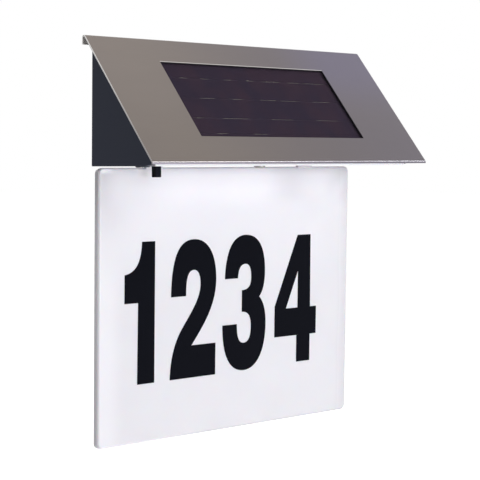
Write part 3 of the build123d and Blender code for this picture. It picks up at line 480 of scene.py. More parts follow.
@dataclass(frozen=True)
class OpalAcrylic:
    """Cast opal sheet with a painted glow that stands for the lamps' light spread through it."""

    colour: Colour = srgb(240, 239, 245)
    deep: Colour = srgb(232, 231, 238)
    # Painted shade on the right bevel and the left side face.
    rim_shade: Colour = srgb(205, 203, 210)
    glow: Colour = (1.0, 0.985, 1.02)
    everywhere: float = 0.062
    upper: float = 0.10
    upper_z: Pair = (-0.115, -0.072)
    upper_end_x: Pair = (0.045, 0.08)
    band_z: Pair = (-0.066, -0.054)
    lobes: float = 0.135
    dip: float = 0.095
    left_edge_highlight: float = 0.07
    left_x: Pair = (-0.072, -0.086)
    left_z: Pair = (-0.075, -0.105)
    corner_shade: float = 0.075
    corner_x: Pair = (-0.062, -0.084)
    corner_z: Pair = (-0.082, -0.062)
    # Painted shadow of the roof over the top of the panel.
    overhang_shadow_z: Pair = (-0.046, -0.041)
    overhang_shadow_dim: Pair = (0.55, 0.4)
    overhang_shadow_x: float = 52.0 * MM
    glint: float = 0.36
    glint_x: Pair = (-0.079, -0.0895)
    glint_z: Pair = (-0.0445, -0.042)
    painted_light_by_switch: float = 0.14
    switch_x: float = -62.0 * MM
    switch_z: Pair = (-0.048, -0.042)
    back: float = 1.3
    foot: float = 0.20
    plate_edge: float = 0.42
    half: float = 90.0 * MM
    bottom: float = -182.0 * MM
    bevel: float = 1.7 * MM
    shades: tuple[Shade, ...] = (
        Shade(-0.064, 0.030, 0.5), Shade(0.044, 0.026, 0.95),
        Shade(0.090, 0.024, 0.9), Shade(-0.090, 0.014, 0.9),
    )

    def panel_light(self, graph: Graph) -> Val:
        """Painted glow that leaves through the number panel's faces, standing for the lamps' light.

        A level all over, a part that fades down the sheet, and below the lamps a band that is weaker
        wherever a shade lies. A painted highlight runs low down the left edge, and painted shade darkens its
        upper corner. All of it fades again at the very top as a painted shadow of the roof, where the left
        corner takes a painted glint and a little painted light is added beside the switch.

        Args:
            graph: the material's graph.

        Returns:
            The strength at the shaded point.
        """
        x, _, z = graph.parts(graph.place())
        reached: Val | float = 1.0
        for shade in self.shades:
            reached = reached * (1.0 - shade.depth * abs(x - shade.middle).ramp(shade.reach, 0.0))
        fading = z.ramp(*self.upper_z) * self.upper * (1.0 - 0.8 * x.ramp(*self.upper_end_x))
        # Painted highlight low on the left edge, and painted shade at its upper corner.
        left = x.ramp(*self.left_x) * z.ramp(*self.left_z) * self.left_edge_highlight
        left = left - x.ramp(*self.corner_x) * z.ramp(*self.corner_z) * self.corner_shade
        band = z.ramp(*self.band_z) * (reached * self.lobes - self.dip)
        # Painted shadow of the roof over the top of the panel.
        least, more = self.overhang_shadow_dim
        top = z.ramp(*self.overhang_shadow_z) * (least + more * abs(x - self.overhang_shadow_x).ramp(0.04, 0.0))
        # Painted glint on the upper left corner, and painted light beside the switch.
        glint = self.glint * x.ramp(*self.glint_x) * z.ramp(*self.glint_z)
        beside = self.painted_light_by_switch * abs(x - self.switch_x).ramp(0.007, 0.0) * z.ramp(*self.switch_z)
        return (self.everywhere + fading + left + band) * (1.0 - top) + glint + beside

    def light(self, graph: Graph) -> Val:
        """Painted glow on the panel's two faces and its lower edge, brighter at the left, and on the light
        plate's front edge.

        Args:
            graph: the material's graph.

        Returns:
            The strength at the shaded point.
        """
        x, y, z = graph.parts(graph.place())
        near, far = 0.1 * MM, 0.5 * MM
        front = y.ramp(PANEL_FRONT + far, PANEL_FRONT + near)
        behind = y.ramp(PANEL_BACK - far, PANEL_BACK - near)
        face = (front + self.back * behind) * (z < PANEL_TOP)
        foot = z.ramp(self.bottom + self.bevel, self.bottom + 0.2 * MM)
        foot = foot * (0.03 + self.foot * x.ramp(-0.015, -0.06))
        plate = self.plate_edge * (y < DIFFUSER_FRONT + near)
        return self.panel_light(graph) * face + foot + plate

    def build(self) -> bpy.types.Material:
        """Return the material."""
        made, graph = material("opal_acrylic")
        clouds = graph.noise(45.0 * MM, 2.0)
        ripple = graph.noise(6.0 * MM, 1.0)
        light = self.light(graph)
        x, _, z = graph.parts(graph.place())
        # Painted shade: the rim colour darkens the right bevel and the left side face.
        right = x.ramp(self.half - self.bevel, self.half - 0.6 * self.bevel)
        right = graph.math("MAXIMUM", right, 0.3 * x.ramp(0.080, 0.0885))
        left = x.ramp(0.3 * MM - self.half, 0.1 * MM - self.half) * z.ramp(-0.075, -0.045)
        tone = graph.mix(clouds, self.colour, self.deep)
        tone = graph.mix(graph.math("MAXIMUM", right, left) * (z < PANEL_TOP), tone, self.rim_shade)
        finish_surface(graph, {
            "Base Color": tone,
            "Roughness": 0.24 + 0.08 * (clouds - 0.5) + 0.4 * right,
            "Specular IOR Level": 0.4,
            "Emission Color": graph.grey(light, self.glow),
            "Emission Strength": 1.0,
            "Subsurface Weight": 0.2,
            "Subsurface Scale": 1.5 * MM,
            "Normal": graph.bump(ripple, 0.006 * MM, 0.5),
        })
        return made


@dataclass(frozen=True)
class Soft:
    """Matt cellular foam or cast tape with small pores."""

    name: str
    colour: Colour
    pore: float = 0.5 * MM

    def build(self) -> bpy.types.Material:
        """Return the material."""
        made, graph = material(self.name)
        pores = graph.cells(self.pore)
        clouds = graph.noise(5.0 * MM)
        darker = tuple(channel * 0.6 for channel in self.colour)
        finish_surface(graph, {
            "Base Color": graph.mix(pores * 0.6 + clouds * 0.3, darker, self.colour),
            "Roughness": 0.82 + 0.1 * (clouds - 0.5),
            "Normal": graph.bump(pores, 0.06 * MM),
        })
        return made


@dataclass(frozen=True)
class Clear:
    """Clear moulded resin or cover sheet. Cover is the share of the light that it stops."""

    name: str
    tint: Colour
    cover: float
    roughness: float = 0.04
    shine: float = 0.4

    def build(self) -> bpy.types.Material:
        """Return the material."""
        made, graph = material(self.name)
        haze = graph.noise(4.0 * MM, 3.0)
        finish_surface(graph, {
            "Base Color": graph.mix(haze, self.tint, tuple(channel * 0.9 for channel in self.tint)),
            "Roughness": self.roughness + 0.05 * haze,
            "Specular IOR Level": self.shine,
            "Alpha": self.cover,
            "Normal": graph.bump(haze, 0.002 * MM, 0.3),
        })
        return made


@dataclass(frozen=True)
class SolarSilicon:
    """Dark violet cell strips with thin silver fingers."""

    dark: Colour = srgb(76, 66, 88)
    violet: Colour = srgb(91, 71, 88)
    silver: Colour = srgb(120, 112, 124)
    pitch: float = 2.0 * MM

    def build(self) -> bpy.types.Material:
        """Return the material."""
        made, graph = material("solar_silicon")
        crystals = graph.cells(5.0 * MM, output="Color")
        clouds = graph.noise(20.0 * MM, 3.0)
        x, _, _ = graph.parts(graph.place())
        grains, _, _ = graph.parts(crystals)
        body = graph.mix(grains * 0.2 + clouds.ramp(0.35, 0.65) * 0.8, self.dark, self.violet)
        fingers = abs((x / self.pitch).math("FRACT") - 0.5) < 0.03
        finish_surface(graph, {
            "Base Color": graph.mix(fingers * 0.25, body, self.silver),
            "Roughness": 0.5 + 0.1 * (clouds - 0.5),
            "Specular IOR Level": 0.0,
            "Normal": graph.bump(clouds, 0.01 * MM, 0.4),
        })
        return made


@dataclass(frozen=True)
class DigitFilm:
    """Black printed film with a fine satin skin."""

    colour: Colour = srgb(9, 10, 18)

    def build(self) -> bpy.types.Material:
        """Return the material."""
        made, graph = material("digit_film")
        skin = graph.noise(0.6 * MM, 2.0)
        clouds = graph.noise(30.0 * MM, 2.0)
        finish_surface(graph, {
            "Base Color": graph.mix(clouds * 0.7 + skin * 0.3, self.colour, srgb(14, 16, 24)),
            "Roughness": 0.42 + 0.1 * (skin - 0.5),
            "Specular IOR Level": 0.03,
            "Normal": graph.bump(skin, 0.004 * MM, 0.5),
        })
        return made


@dataclass(frozen=True)
class CircuitLaminate:
    """Green resist over copper tracks, with woven glass below."""

    green: Colour = srgb(18, 84, 46)
    track: Colour = srgb(40, 122, 70)
    pitch: Pair = (2.4 * MM, 3.1 * MM)
    share: Pair = (0.22, 0.2)

    def build(self) -> bpy.types.Material:
        """Return the material."""
        made, graph = material("circuit_laminate")
        x, y, _ = graph.parts(graph.place())
        run = (x / self.pitch[0]).math("FRACT")
        cross = (y / self.pitch[1]).math("FRACT")
        islands = graph.cells(7.0 * MM, output="Color")
        choice, _, _ = graph.parts(islands)
        tracks = (run < self.share[0]) * (choice > 0.5) + (cross < self.share[1]) * (choice < 0.5)
        weave = graph.noise(0.5 * MM, 1.0)
        finish_surface(graph, {
            "Base Color": graph.mix(tracks * 0.7 + weave * 0.15, self.green, self.track),
            "Roughness": 0.38 + 0.12 * weave,
            "Normal": graph.bump(tracks, 0.03 * MM, 0.6),
        })
        return made


@dataclass(frozen=True)
class CellJacket:
    """Shrunk plastic sleeve of the cell, with bare metal at its two ends."""

    sleeve: Colour = srgb(38, 96, 62)
    metal: Colour = srgb(190, 188, 184)
    left: float = -23.6 * MM
    length: float = 49.5 * MM
    margin: float = 0.9 * MM

    def build(self) -> bpy.types.Material:
        """Return the material."""
        made, graph = material("cell_jacket")
        x, _, _ = graph.parts(graph.place())
        middle = self.left + self.length / 2
        bare = abs(x - middle) > self.length / 2 - self.margin
        wrinkles = graph.noise(3.0 * MM, 2.0, (1.0, 0.3, 0.3))
        finish_surface(graph, {
            "Base Color": graph.mix(bare, graph.mix(wrinkles, self.sleeve, srgb(52, 118, 78)), self.metal),
            "Metallic": bare,
            "Roughness": 0.34 + 0.1 * (wrinkles - 0.5),
            "Normal": graph.bump(wrinkles, 0.03 * MM, 0.5),
        })
        return made


FINISHES = {
    "steel": RoofSteel(),
    "tape": Soft("tape", srgb(214, 214, 208), 0.35 * MM),
    "black_abs": MouldedPlastic("black_abs", srgb(31, 36, 52)),
    "screw_steel": BareMetal("screw_steel", srgb(165, 163, 160), 0.32),
    "foam": Soft("foam", srgb(70, 66, 74)),
    "cell_jacket": CellJacket(),
    "spring_steel": BareMetal("spring_steel", srgb(205, 202, 192), 0.25, Streak.UPRIGHT),
    "clear_glass": Clear("clear_glass", srgb(62, 56, 66), 0.25, 0.3, 0.0),
    "solar_silicon": SolarSilicon(),
    "solar_back": MouldedPlastic("solar_back", srgb(98, 84, 104), 0.6, 0.8 * MM, shine=0.0),
    "opal_acrylic": OpalAcrylic(),
    "digit_vinyl": DigitFilm(),
    "pcb_green": CircuitLaminate(),
    "led_resin": Clear("led_resin", srgb(238, 238, 228), 0.35),
    # The knob's left side gets painted shade.
    "black_switch": MouldedPlastic(
        "black_switch", srgb(21, 22, 33), 0.4, 0.25 * MM, shine=0.05, shaded=(-61.3 * MM, -62.1 * MM)
    ),
    "component": MouldedPlastic("component", srgb(30, 30, 34), 0.45, 0.2 * MM),
    "lead_insulation": MouldedPlastic("lead_insulation", srgb(150, 24, 26), 0.42, 0.5 * MM),
    "copper": BareMetal("copper", srgb(184, 108, 62), 0.28),
    "phosphor": MouldedPlastic("phosphor", srgb(226, 204, 84), 0.55, 0.1 * MM),
}


class Wardrobe:
    """Gives each solid the finish of its material slot."""

    def __init__(self) -> None:
        """Build every finish once."""
        self.made = {slot: finish.build() for slot, finish in FINISHES.items()}

    def dress(self) -> None:
        """Assign the finishes."""
        for entry in frame["record"]["subparts"]:
            materials = NODES[entry["node"]].data.materials
            materials.clear()
            materials.append(self.made[entry["material_slot"]])
            log.info("%s wears %s", entry["node"], entry["material_slot"])


@dataclass(frozen=True)
class Seat:
    """A local frame: its origin, its turn about the world's x axis, and whether its z axis lies along it."""

    origin: Triple = (0.0, 0.0, 0.0)
    tilt: float = 0.0
    lying: bool = False

    def put(self, local: np.ndarray) -> np.ndarray:
        """Carry local points into the row frame.

        A point (x, y, z) goes to origin + (x, y cos t - z sin t, y sin t + z cos t). In a lying frame it is
        read as (z, x, y) first.

        Args:
            local: an array of points, its last axis x, y and z.

        Returns:
            The points in the row frame.
        """
        x, y, z = np.moveaxis(local, -1, 0)
        if self.lying:
            x, y, z = z, x, y
        cos, sin = math.cos(self.tilt), math.sin(self.tilt)
        return np.stack((x, y * cos - z * sin, y * sin + z * cos), axis=-1) + np.array(self.origin)


def on_slope(x: float, up: float, depth: float) -> Seat:
    """Seat on the roof's slope, its y axis up the slope, at a depth below the sheet's outer face."""
    cos, sin = math.cos(SLOPE), math.sin(SLOPE)
    return Seat((x, up * cos + depth * sin - ROOF_REACH, up * sin - depth * cos + CREASE_Z), SLOPE)


def on_floor(x: float, y: float, height: float) -> Seat:
    """Seat over a point of the housing's underside, its z axis square to it, at a height above it."""
    cos, sin = math.cos(FLOOR_TILT), math.sin(FLOOR_TILT)
    along = (y - FLOOR_FRONT[0]) / cos
    return Seat((x, y + height * sin, FLOOR_FRONT[1] - along * sin + height * cos), -FLOOR_TILT)


def stack(rows: np.ndarray, power: float = 2.0, steps: int = 24) -> np.ndarray:
    """Rings above one another.

    A row (a, b, h) gives the superellipse |x / a|^n + |y / b|^n = 1 at height h, whose points are
    (a sgn(cos t) |cos t|^(2 / n), b sgn(sin t) |sin t|^(2 / n), h) for t once round.

    Args:
        rows: half widths along x and y, and the height, of each ring.
        power: the exponent n, 2 for an ellipse and more for a squarer ring.
        steps: points in a ring.

    Returns:
        Points, rings by steps by 3.
    """
    angle = 2.0 * np.pi * (np.arange(steps) + 0.5) / steps
    unit = np.stack((np.cos(angle), np.sin(angle)), axis=-1)
    unit = np.sign(unit) * np.abs(unit) ** (2.0 / power)
    flat = rows[:, None, :2] * unit
    height = np.broadcast_to(rows[:, None, 2:], (*flat.shape[:2], 1))
    return np.concatenate((flat, height), axis=-1)


def lathe(profile: Sequence[Pair], steps: int = 24) -> np.ndarray:
    """A profile of (radius, height) in millimetres, turned once round the z axis."""
    return stack(MM * np.array(profile)[:, (0, 0, 1)], steps=steps)


def carry(
    path: np.ndarray, half: Pair, up: Triple, power: float = 2.0, steps: int = 10
) -> np.ndarray:
    """A superellipse carried along a path.

    At each point p with the tangent t, s = t x up and n = s x t, both made units, and the ring's points are
    p + x s + y n.

    Args:
        path: points of the path.
        half: half widths across and along up.
        up: a direction that the path never takes.
        power: the superellipse's exponent.
        steps: points in a ring.

    Returns:
        Points, rings by steps by 3.
    """
    tangent = np.gradient(path, axis=0)
    side = np.cross(tangent, np.array(up))
    side /= np.linalg.norm(side, axis=1, keepdims=True)
    normal = np.cross(side, tangent)
    normal /= np.linalg.norm(normal, axis=1, keepdims=True)
    ring = stack(np.array([[*half, 0.0]]), power, steps)[0]
    return path[:, None] + ring[None, :, :1] * side[:, None] + ring[None, :, 1:2] * normal[:, None]


def bar(length: float, half: Pair, blunt: float = 8.0) -> np.ndarray:
    """A bar along z about the origin, its half widths times sqrt(1 - 0.995 |u|^blunt) for u from -1 to 1."""
    along = np.sin(np.linspace(-0.5 * np.pi, 0.5 * np.pi, 13))
    size = np.sqrt(1.0 - 0.995 * np.abs(along) ** blunt)
    return stack(np.stack((half[0] * size, half[1] * size, 0.5 * length * along), axis=-1), steps=10)


class Skin:
    """One piece of the scene, gathered from closed surfaces."""

    def __init__(self, name: str) -> None:
        """Start with no surface."""
        self.name = name
        self.points: list[np.ndarray] = []
        self.faces: list[np.ndarray] = []
        self.count = 0

    def add(self, rings: np.ndarray, *seats: Seat) -> "Skin":
        """Add one closed surface at each seat.

        Two triangles join each point of a ring to its neighbours on the next ring, and a fan about its middle
        closes the first and the last ring. The faces are turned over where the volume within them, the sum of
        a . (b x c) / 6 over the triangles, is negative.

        Args:
            rings: points, rings by steps by 3, in the seat's frame.
            seats: where copies of it stand.

        Returns:
            This piece.
        """
        index = np.arange(rings.shape[0] * rings.shape[1]).reshape(rings.shape[:2])
        beside = np.roll(index, -1, axis=1)
        lower = np.stack((index[:-1], beside[:-1], beside[1:]), axis=-1).reshape(-1, 3)
        upper = np.stack((index[:-1], beside[1:], index[1:]), axis=-1).reshape(-1, 3)
        first = np.stack((beside[0], index[0], np.full_like(index[0], index.size)), axis=-1)
        last = np.stack((index[-1], beside[-1], np.full_like(index[0], index.size + 1)), axis=-1)
        faces = np.concatenate((lower, upper, first, last))
        local = np.concatenate((rings.reshape(-1, 3), rings[0].mean(0)[None], rings[-1].mean(0)[None]))
        a, b, c = np.moveaxis((local - local.mean(0))[faces], 1, 0)
        if np.einsum("ij,ij->i", a, np.cross(b, c)).sum() < 0.0:
            faces = faces[:, ::-1]
        for seat in seats:
            self.points.append(seat.put(local))
            self.faces.append(faces + self.count)
            self.count += len(local)
        return self

    def place(
        self, finish: bpy.types.Material, body: str = "sign", slot: str | None = None
    ) -> bpy.types.Object:
        """Make the object and hang it on a body.

        Args:
            finish: its material.
            body: the CAD body that it rides on.
            slot: the record's material slot that its finish comes from; it is not used.

        Returns:
            The object.
        """
        mesh = bpy.data.meshes.new(self.name)
        mesh.from_pydata(np.concatenate(self.points).tolist(), [], np.concatenate(self.faces).tolist())
        mesh.shade_smooth()
        mesh.set_sharp_from_angle(angle=math.radians(38.0))
        mesh.materials.append(finish)
        obj = bpy.data.objects.new(self.name, mesh)
        bpy.context.scene.collection.objects.link(obj)
        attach(obj, body)
        log.info("%s: %d faces on %s", self.name, len(mesh.polygons), body)
        return obj


@dataclass(frozen=True)
class SolarPanel:
    """Silver ribbons in the gaps between the cell strips, bare only in places."""

    half: Pair = (0.07 * MM, 0.04 * MM)
    below: float = 0.1 * MM
    runs: tuple[tuple[float, tuple[Pair, ...]], ...] = (
        (56.75, ((-49.2, -43.9), (-35.2, -29.0), (-19.2, -13.7), (-3.9, 2.1), (7.9, 21.3), (27.0, 36.0),
                 (38.1, 55.4))),
        (43.35, ((-43.1, -32.3), (-22.8, -13.0), (-1.1, 11.3), (13.4, 27.7), (37.8, 51.1))),
        (29.95, ((-54.1, -47.5), (-35.4, -17.5), (-1.2, 15.0), (30.9, 48.8))),
        (19.7, ((-44.6, -37.9), (-20.2, -10.4))),
    )

    def build(self, wardrobe: Wardrobe) -> None:
        """Make the ribbons."""
        skin = Skin("cell_ribbons")
        for up, spans in self.runs:
            for start, end in spans:
                middle = on_slope(0.5 * (start + end) * MM, up * MM, CELL_TOP + self.below).origin
                skin.add(bar((end - start) * MM, self.half), Seat(middle, SLOPE, True))
        skin.place(wardrobe.made["spring_steel"], slot="spring_steel")


@dataclass(frozen=True)
class SwitchKnob:
    """Upright grip ribs on the knob's two broad faces."""

    x: float = -60.5 * MM
    y: float = -13.0 * MM
    half_depth: float = 1.0 * MM
    middle: float = -3.0 * MM
    length: float = 4.4 * MM
    half: Pair = (0.16 * MM, 0.13 * MM)
    pitch: float = 0.85 * MM
    count: int = 5

    def build(self, wardrobe: Wardrobe) -> None:
        """Make the ribs."""
        offsets = (np.arange(self.count) - 0.5 * (self.count - 1)) * self.pitch
        seats = [on_floor(self.x + offset, self.y + side * self.half_depth, self.middle)
                 for offset in offsets for side in (-1, 1)]
        Skin("knob_ribs").add(bar(self.length, self.half), *seats).place(
            wardrobe.made["black_switch"], "switch_knob", "black_switch")


@dataclass(frozen=True)
class MainBoard:
    """The parts soldered to the main board: a chip, a wound coil, a can and five chip resistors."""

    chip_at: Pair = (13.0 * MM, -31.0 * MM)
    coil_at: Pair = (31.0 * MM, -27.5 * MM)
    can_at: Pair = (-9.0 * MM, -27.5 * MM)
    small_at: tuple[Pair, ...] = (
        (2.0, -32.0), (5.5, -32.0), (9.0, -25.0), (27.0, -33.5), (38.0, -33.5),
    )
    small_half: float = 0.8
    pin_pitch: float = 1.27 * MM
    turns: int = 5
    coil_radius: float = 2.15
    coil_rise: Pair = (1.12, 2.88)
    wire_half: float = 0.21 * MM

    def build(self, wardrobe: Wardrobe) -> None:
        """Make the parts, which together stand for the solids' plain blocks."""
        made = wardrobe.made
        chip = on_floor(*self.chip_at, BOARD_TOP)
        body = MM * np.array(((2.85, 1.85, 0.12), (3.0, 2.0, 0.78), (2.85, 1.85, 1.5)))
        obj = Skin("board_chip").add(stack(body, 12.0, 40), chip).place(made["component"], slot="component")
        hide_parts("board_parts")
        self.pins(made["spring_steel"])
        coil = on_floor(*self.coil_at, BOARD_TOP)
        drum = ((3.1, 0.0), (3.2, 0.12), (3.2, 0.7), (3.05, 0.82), (1.7, 0.85),
                (1.7, 3.15), (3.05, 3.18), (3.2, 3.3), (3.2, 3.88), (3.1, 4.0))
        Skin("board_coil_core").add(lathe(drum, 40), coil).place(made["component"], slot="component")
        turn = np.linspace(0.0, 2.0 * np.pi * self.turns, 24 * self.turns)
        helix = np.stack((np.cos(turn), np.sin(turn), np.zeros_like(turn)), axis=-1) * self.coil_radius * MM
        helix[:, 2] = np.linspace(*self.coil_rise, turn.size) * MM
        wire = carry(helix, (self.wire_half, self.wire_half), (0.0, 0.0, 1.0), steps=8)
        Skin("board_coil_wire").add(wire, coil).place(made["copper"])
        can = ((2.4, 0.0), (2.6, 0.2), (2.6, 0.7), (2.42, 0.95), (2.6, 1.2),
               (2.6, 4.75), (2.5, 4.93), (2.3, 5.0), (2.15, 4.9), (1.2, 4.84))
        Skin("board_can").add(lathe(can, 40), on_floor(*self.can_at, BOARD_TOP)).place(
            made["screw_steel"], slot="screw_steel")
        self.resistors(made)

    def pins(self, finish: bpy.types.Material) -> None:
        """Make the chip's eight bent legs: a flat strip that steps down to the board on each side."""
        bend = MM * np.array(((0.0, 1.9, 0.8), (0.0, 2.3, 0.8), (0.0, 2.55, 0.72), (0.0, 2.7, 0.4),
                              (0.0, 2.85, 0.12), (0.0, 3.1, 0.07), (0.0, 3.5, 0.07)))
        leg = carry(bend, (0.07 * MM, 0.2 * MM), (1.0, 0.0, 0.0), 6.0)
        skin = Skin("board_chip_pins")
        for column in (np.arange(4) - 1.5) * self.pin_pitch:
            seat = on_floor(self.chip_at[0] + column, self.chip_at[1], BOARD_TOP)
            skin.add(leg, seat)
            skin.add(leg * np.array((1.0, -1.0, 1.0)), seat)
        skin.place(finish, slot="spring_steel")

    def resistors(self, made: dict[str, bpy.types.Material]) -> None:
        """Make the chip resistors and their metal ends."""
        block = MM * np.array(((0.76, 0.56, 0.02), (0.8, 0.6, 0.1), (0.8, 0.6, 0.6), (0.76, 0.56, 0.66)))
        end = MM * np.array(((0.2, 0.58, 0.0), (0.23, 0.62, 0.05), (0.23, 0.62, 0.64), (0.2, 0.58, 0.7)))
        seats = [on_floor(x * MM, y * MM, BOARD_TOP) for x, y in self.small_at]
        ends = [on_floor((x + side * self.small_half) * MM, y * MM, BOARD_TOP)
                for x, y in self.small_at for side in (-1, 1)]
        Skin("board_resistors").add(stack(block, 12.0), *seats).place(made["component"], slot="component")
        caps = Skin("board_resistor_ends").add(stack(end, 8.0), *ends)
        caps.place(made["spring_steel"], slot="spring_steel")


@dataclass(frozen=True)
class SolderJoints:
    """Solder that climbs each lead and each lamp leg: radius r + (R - r) (1 - s)^2 at height H s."""

    board_leads: tuple[Pair, ...] = (
        (20.0, -28.46), (24.5, -28.46), (37.0, -25.5), (-19.0, -28.5),
        (5.0, -23.5), (-17.0, -31.5), (-15.0, -24.5),
    )
    lamp_leads: tuple[Pair, ...] = (
        (5.0, -8.5), (45.0, -7.5), (-45.0, -7.5), (63.6, -6.5), (-63.6, -6.5),
    )
    switch_leads: tuple[Pair, ...] = ((-65.0, -13.0), (-60.0, -13.0))
    panel_leads: tuple[Pair, ...] = ((20.0, 30.0), (24.5, 30.0))
    leg: float = 1.0 * MM
    lamp_board_top: float = -30.5 * MM
    switch_top: float = 8.5 * MM
    wire_cone: Triple = (0.66, 1.15, 0.75)
    leg_cone: Triple = (0.26, 0.7, 0.65)
    tab_cone: Triple = (0.66, 0.95, 0.6)

    def cone(self, inner: float, outer: float, height: float) -> np.ndarray:
        """Return one joint about a lead of the inner radius, in millimetres."""
        share = np.linspace(0.0, 1.0, 7)
        radius = inner + (outer - inner) * (1.0 - share) ** 2
        return lathe(np.stack((radius, height * share), axis=-1), 20)

    def build(self, wardrobe: Wardrobe) -> None:
        """Make every joint."""
        skin = Skin("solder_joints")
        seats = [on_floor(x * MM, y * MM, BOARD_TOP) for x, y in self.board_leads]
        seats += [on_floor(x * MM, y * MM, self.switch_top) for x, y in self.switch_leads]
        seats += [Seat((x * MM, y * MM, self.lamp_board_top)) for x, y in self.lamp_leads]
        skin.add(self.cone(*self.wire_cone), *seats)
        legs = [Seat((x + side * self.leg, LAMPS_Y, self.lamp_board_top))
                for x in LAMPS_X for side in (-1, 1)]
        skin.add(self.cone(*self.leg_cone), *legs)
        behind = [Seat(on_slope(x * MM, up * MM, BACKING_FOOT).origin, SLOPE + math.pi)
                  for x, up in self.panel_leads]
        skin.add(self.cone(*self.tab_cone), *behind)
        skin.place(wardrobe.made["screw_steel"], slot="screw_steel")


@dataclass(frozen=True)
class LampInsides:
    """What shows through each lamp's clear resin: a bright cup on its post, and the yellow phosphor in it."""

    base: float = -31.5 * MM

    def build(self, wardrobe: Wardrobe) -> None:
        """Make the cups and what fills them."""
        seats = [Seat((x, LAMPS_Y, self.base)) for x in LAMPS_X]
        cup = ((0.3, -0.1), (0.3, -1.2), (0.7, -1.7), (0.7, -2.1), (0.6, -2.1), (0.42, -1.85))
        phosphor = ((0.4, -1.8), (0.55, -2.05), (0.5, -2.2), (0.3, -2.32), (0.08, -2.36))
        made = wardrobe.made
        Skin("lamp_cups").add(lathe(cup, 20), *seats).place(made["spring_steel"], slot="spring_steel")
        Skin("lamp_phosphor").add(lathe(phosphor, 20), *seats).place(made["phosphor"])


@dataclass(frozen=True)
class BatteryTrim:
    """The sleeve's rolled lips at the cell's two ends, and the pale washer round its cap."""

    y: float = -10.3
    z: float = -17.0
    left: float = -23.6
    right: float = 25.9

    def build(self, wardrobe: Wardrobe) -> None:
        """Make the lips and the washer."""
        seat = Seat((0.0, self.y * MM, self.z * MM), lying=True)
        lip = np.array(((7.2, -0.9), (7.27, -0.7), (7.25, -0.25), (7.0, -0.02), (6.5, 0.06), (6.3, 0.04)))
        ends = Skin("battery_sleeve_lips")
        for shape in (lip + (0.0, self.right), lip * (1.0, -1.0) + (0.0, self.left)):
            ends.add(lathe(shape, 48), seat)
        ends.place(wardrobe.made["cell_jacket"], slot="cell_jacket")
        washer = np.array(((5.4, 0.0), (5.4, 0.12), (5.2, 0.2), (3.1, 0.2), (2.9, 0.12)))
        ring = Skin("battery_washer").add(lathe(washer + (0.0, self.right), 48), seat)
        ring.place(wardrobe.made["tape"], slot="tape")


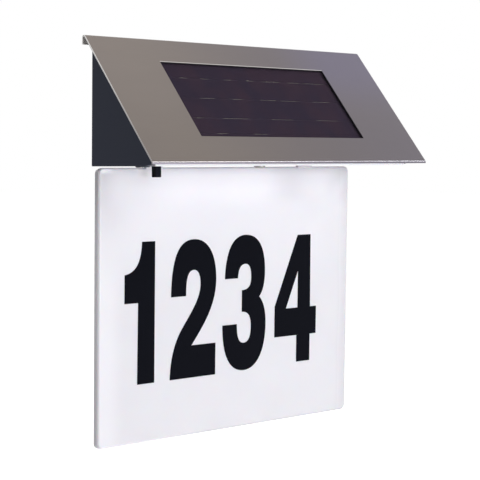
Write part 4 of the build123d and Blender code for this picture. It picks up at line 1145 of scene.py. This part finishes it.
@dataclass
class Studio:
    """Pale floor, white surroundings, three soft lamps and the camera."""

    floor_z: float = -0.42
    floor_half: float = 8.0
    floor_colour: Colour = (0.62, 0.62, 0.62)
    floor_glow: float = 0.8
    surroundings: float = 0.36
    lit_point: Triple = (0.0, 0.0, -0.06)
    stand: Triple = (-0.529017, -0.584132, -0.025324)
    aim: Triple = (0.74452, -0.0693, 0.01176223)
    sensor_mm: float = 36.0
    lens_mm: float = 109.8912

    def build(self) -> None:
        """Make everything in the studio."""
        self.world()
        self.floor()
        self.lamp("key", (0.95, -0.80, 0.85), 0.35, 4.0, (1.0, 0.99, 0.97))
        self.lamp("front", (0.10, -1.75, 0.0), 0.9, 15.0, (0.99, 0.99, 1.0))
        self.lamp("back", (0.3, 1.2, 0.8), 0.9, 9.0, WHITE)
        self.camera()
        bpy.context.scene.view_settings.view_transform = "Standard"

    def seen(self, graph: Graph) -> Val:
        """Return 1 for rays that come from the camera, a glossy surface or a clear one."""
        path = graph.add("ShaderNodeLightPath", output="Is Camera Ray")
        outputs = path.socket.node.outputs
        glossy = Val(graph, outputs["Is Glossy Ray"])
        through = Val(graph, outputs["Is Transmission Ray"])
        return graph.math("MAXIMUM", path, graph.math("MAXIMUM", glossy, through))

    def world(self) -> None:
        """White for the camera and in reflections, and a plain ambient level for the rest."""
        made = bpy.data.worlds.new("studio")
        made.use_nodes = True
        graph = Graph(made.node_tree)
        seen = self.seen(graph)
        strength = self.surroundings + (1.0 - self.surroundings) * seen
        background = graph.add("ShaderNodeBackground", values={"Color": WHITE, "Strength": strength})
        graph.add("ShaderNodeOutputWorld", values={"Surface": background})
        bpy.context.scene.world = made

    def floor(self) -> None:
        """A pale square far below the sign."""
        half = self.floor_half
        mesh = bpy.data.meshes.new("floor")
        corners = [(-half, -half, self.floor_z), (half, -half, self.floor_z), (half, half, self.floor_z),
                   (-half, half, self.floor_z)]
        mesh.from_pydata(corners, [], [(0, 1, 2, 3)])
        obj = bpy.data.objects.new("floor", mesh)
        bpy.context.scene.collection.objects.link(obj)
        made, graph = material("floor")
        pale = graph.add("ShaderNodeBsdfDiffuse", values={"Color": self.floor_colour})
        strength = self.seen(graph) * self.floor_glow
        glow = graph.add("ShaderNodeEmission", values={"Color": WHITE, "Strength": strength})
        both = graph.add("ShaderNodeAddShader", values={0: pale, 1: glow})
        graph.add("ShaderNodeOutputMaterial", values={"Surface": both})
        mesh.materials.append(made)

    def lamp(self, name: str, place: Sequence[float], size: float, power: float, colour: Colour) -> None:
        """Add one square area lamp that faces the sign.

        Args:
            name: its name.
            place: its centre.
            size: its side.
            power: its power in watts.
            colour: its light's colour.
        """
        data = bpy.data.lights.new(name, "AREA")
        data.shape = "SQUARE"
        data.size = size
        data.energy = power
        data.color = colour
        obj = bpy.data.objects.new(name, data)
        obj.location = place
        obj.rotation_euler = (Vector(self.lit_point) - Vector(place)).to_track_quat("-Z", "Y").to_euler()
        bpy.context.scene.collection.objects.link(obj)

    def camera(self) -> None:
        """Stand the camera where the photograph was taken from, turned by yaw, pitch and roll in radians."""
        yaw, pitch, roll = self.aim
        forward = Vector((math.sin(yaw) * math.cos(pitch), math.cos(yaw) * math.cos(pitch), math.sin(pitch)))
        level = Vector((math.cos(yaw), -math.sin(yaw), 0.0))
        up = level.cross(forward)
        right = math.cos(roll) * level + math.sin(roll) * up
        top = math.cos(roll) * up - math.sin(roll) * level
        data = bpy.data.cameras.new("camera")
        data.sensor_width = self.sensor_mm
        data.lens = self.lens_mm
        obj = bpy.data.objects.new("camera", data)
        turn = Matrix((right, top, -forward)).transposed().to_4x4()
        obj.matrix_world = Matrix.Translation(self.stand) @ turn
        bpy.context.scene.collection.objects.link(obj)
        bpy.context.scene.camera = obj


def main() -> None:
    """Build the classes in order."""
    logging.basicConfig(level=logging.INFO, format="%(message)s")
    wardrobe = Wardrobe()
    wardrobe.dress()
    for assembly in (SolarPanel(), SwitchKnob(), MainBoard(), SolderJoints(), LampInsides(), BatteryTrim()):
        assembly.build(wardrobe)
    Studio().build()


if __name__ == "__main__":
    main()
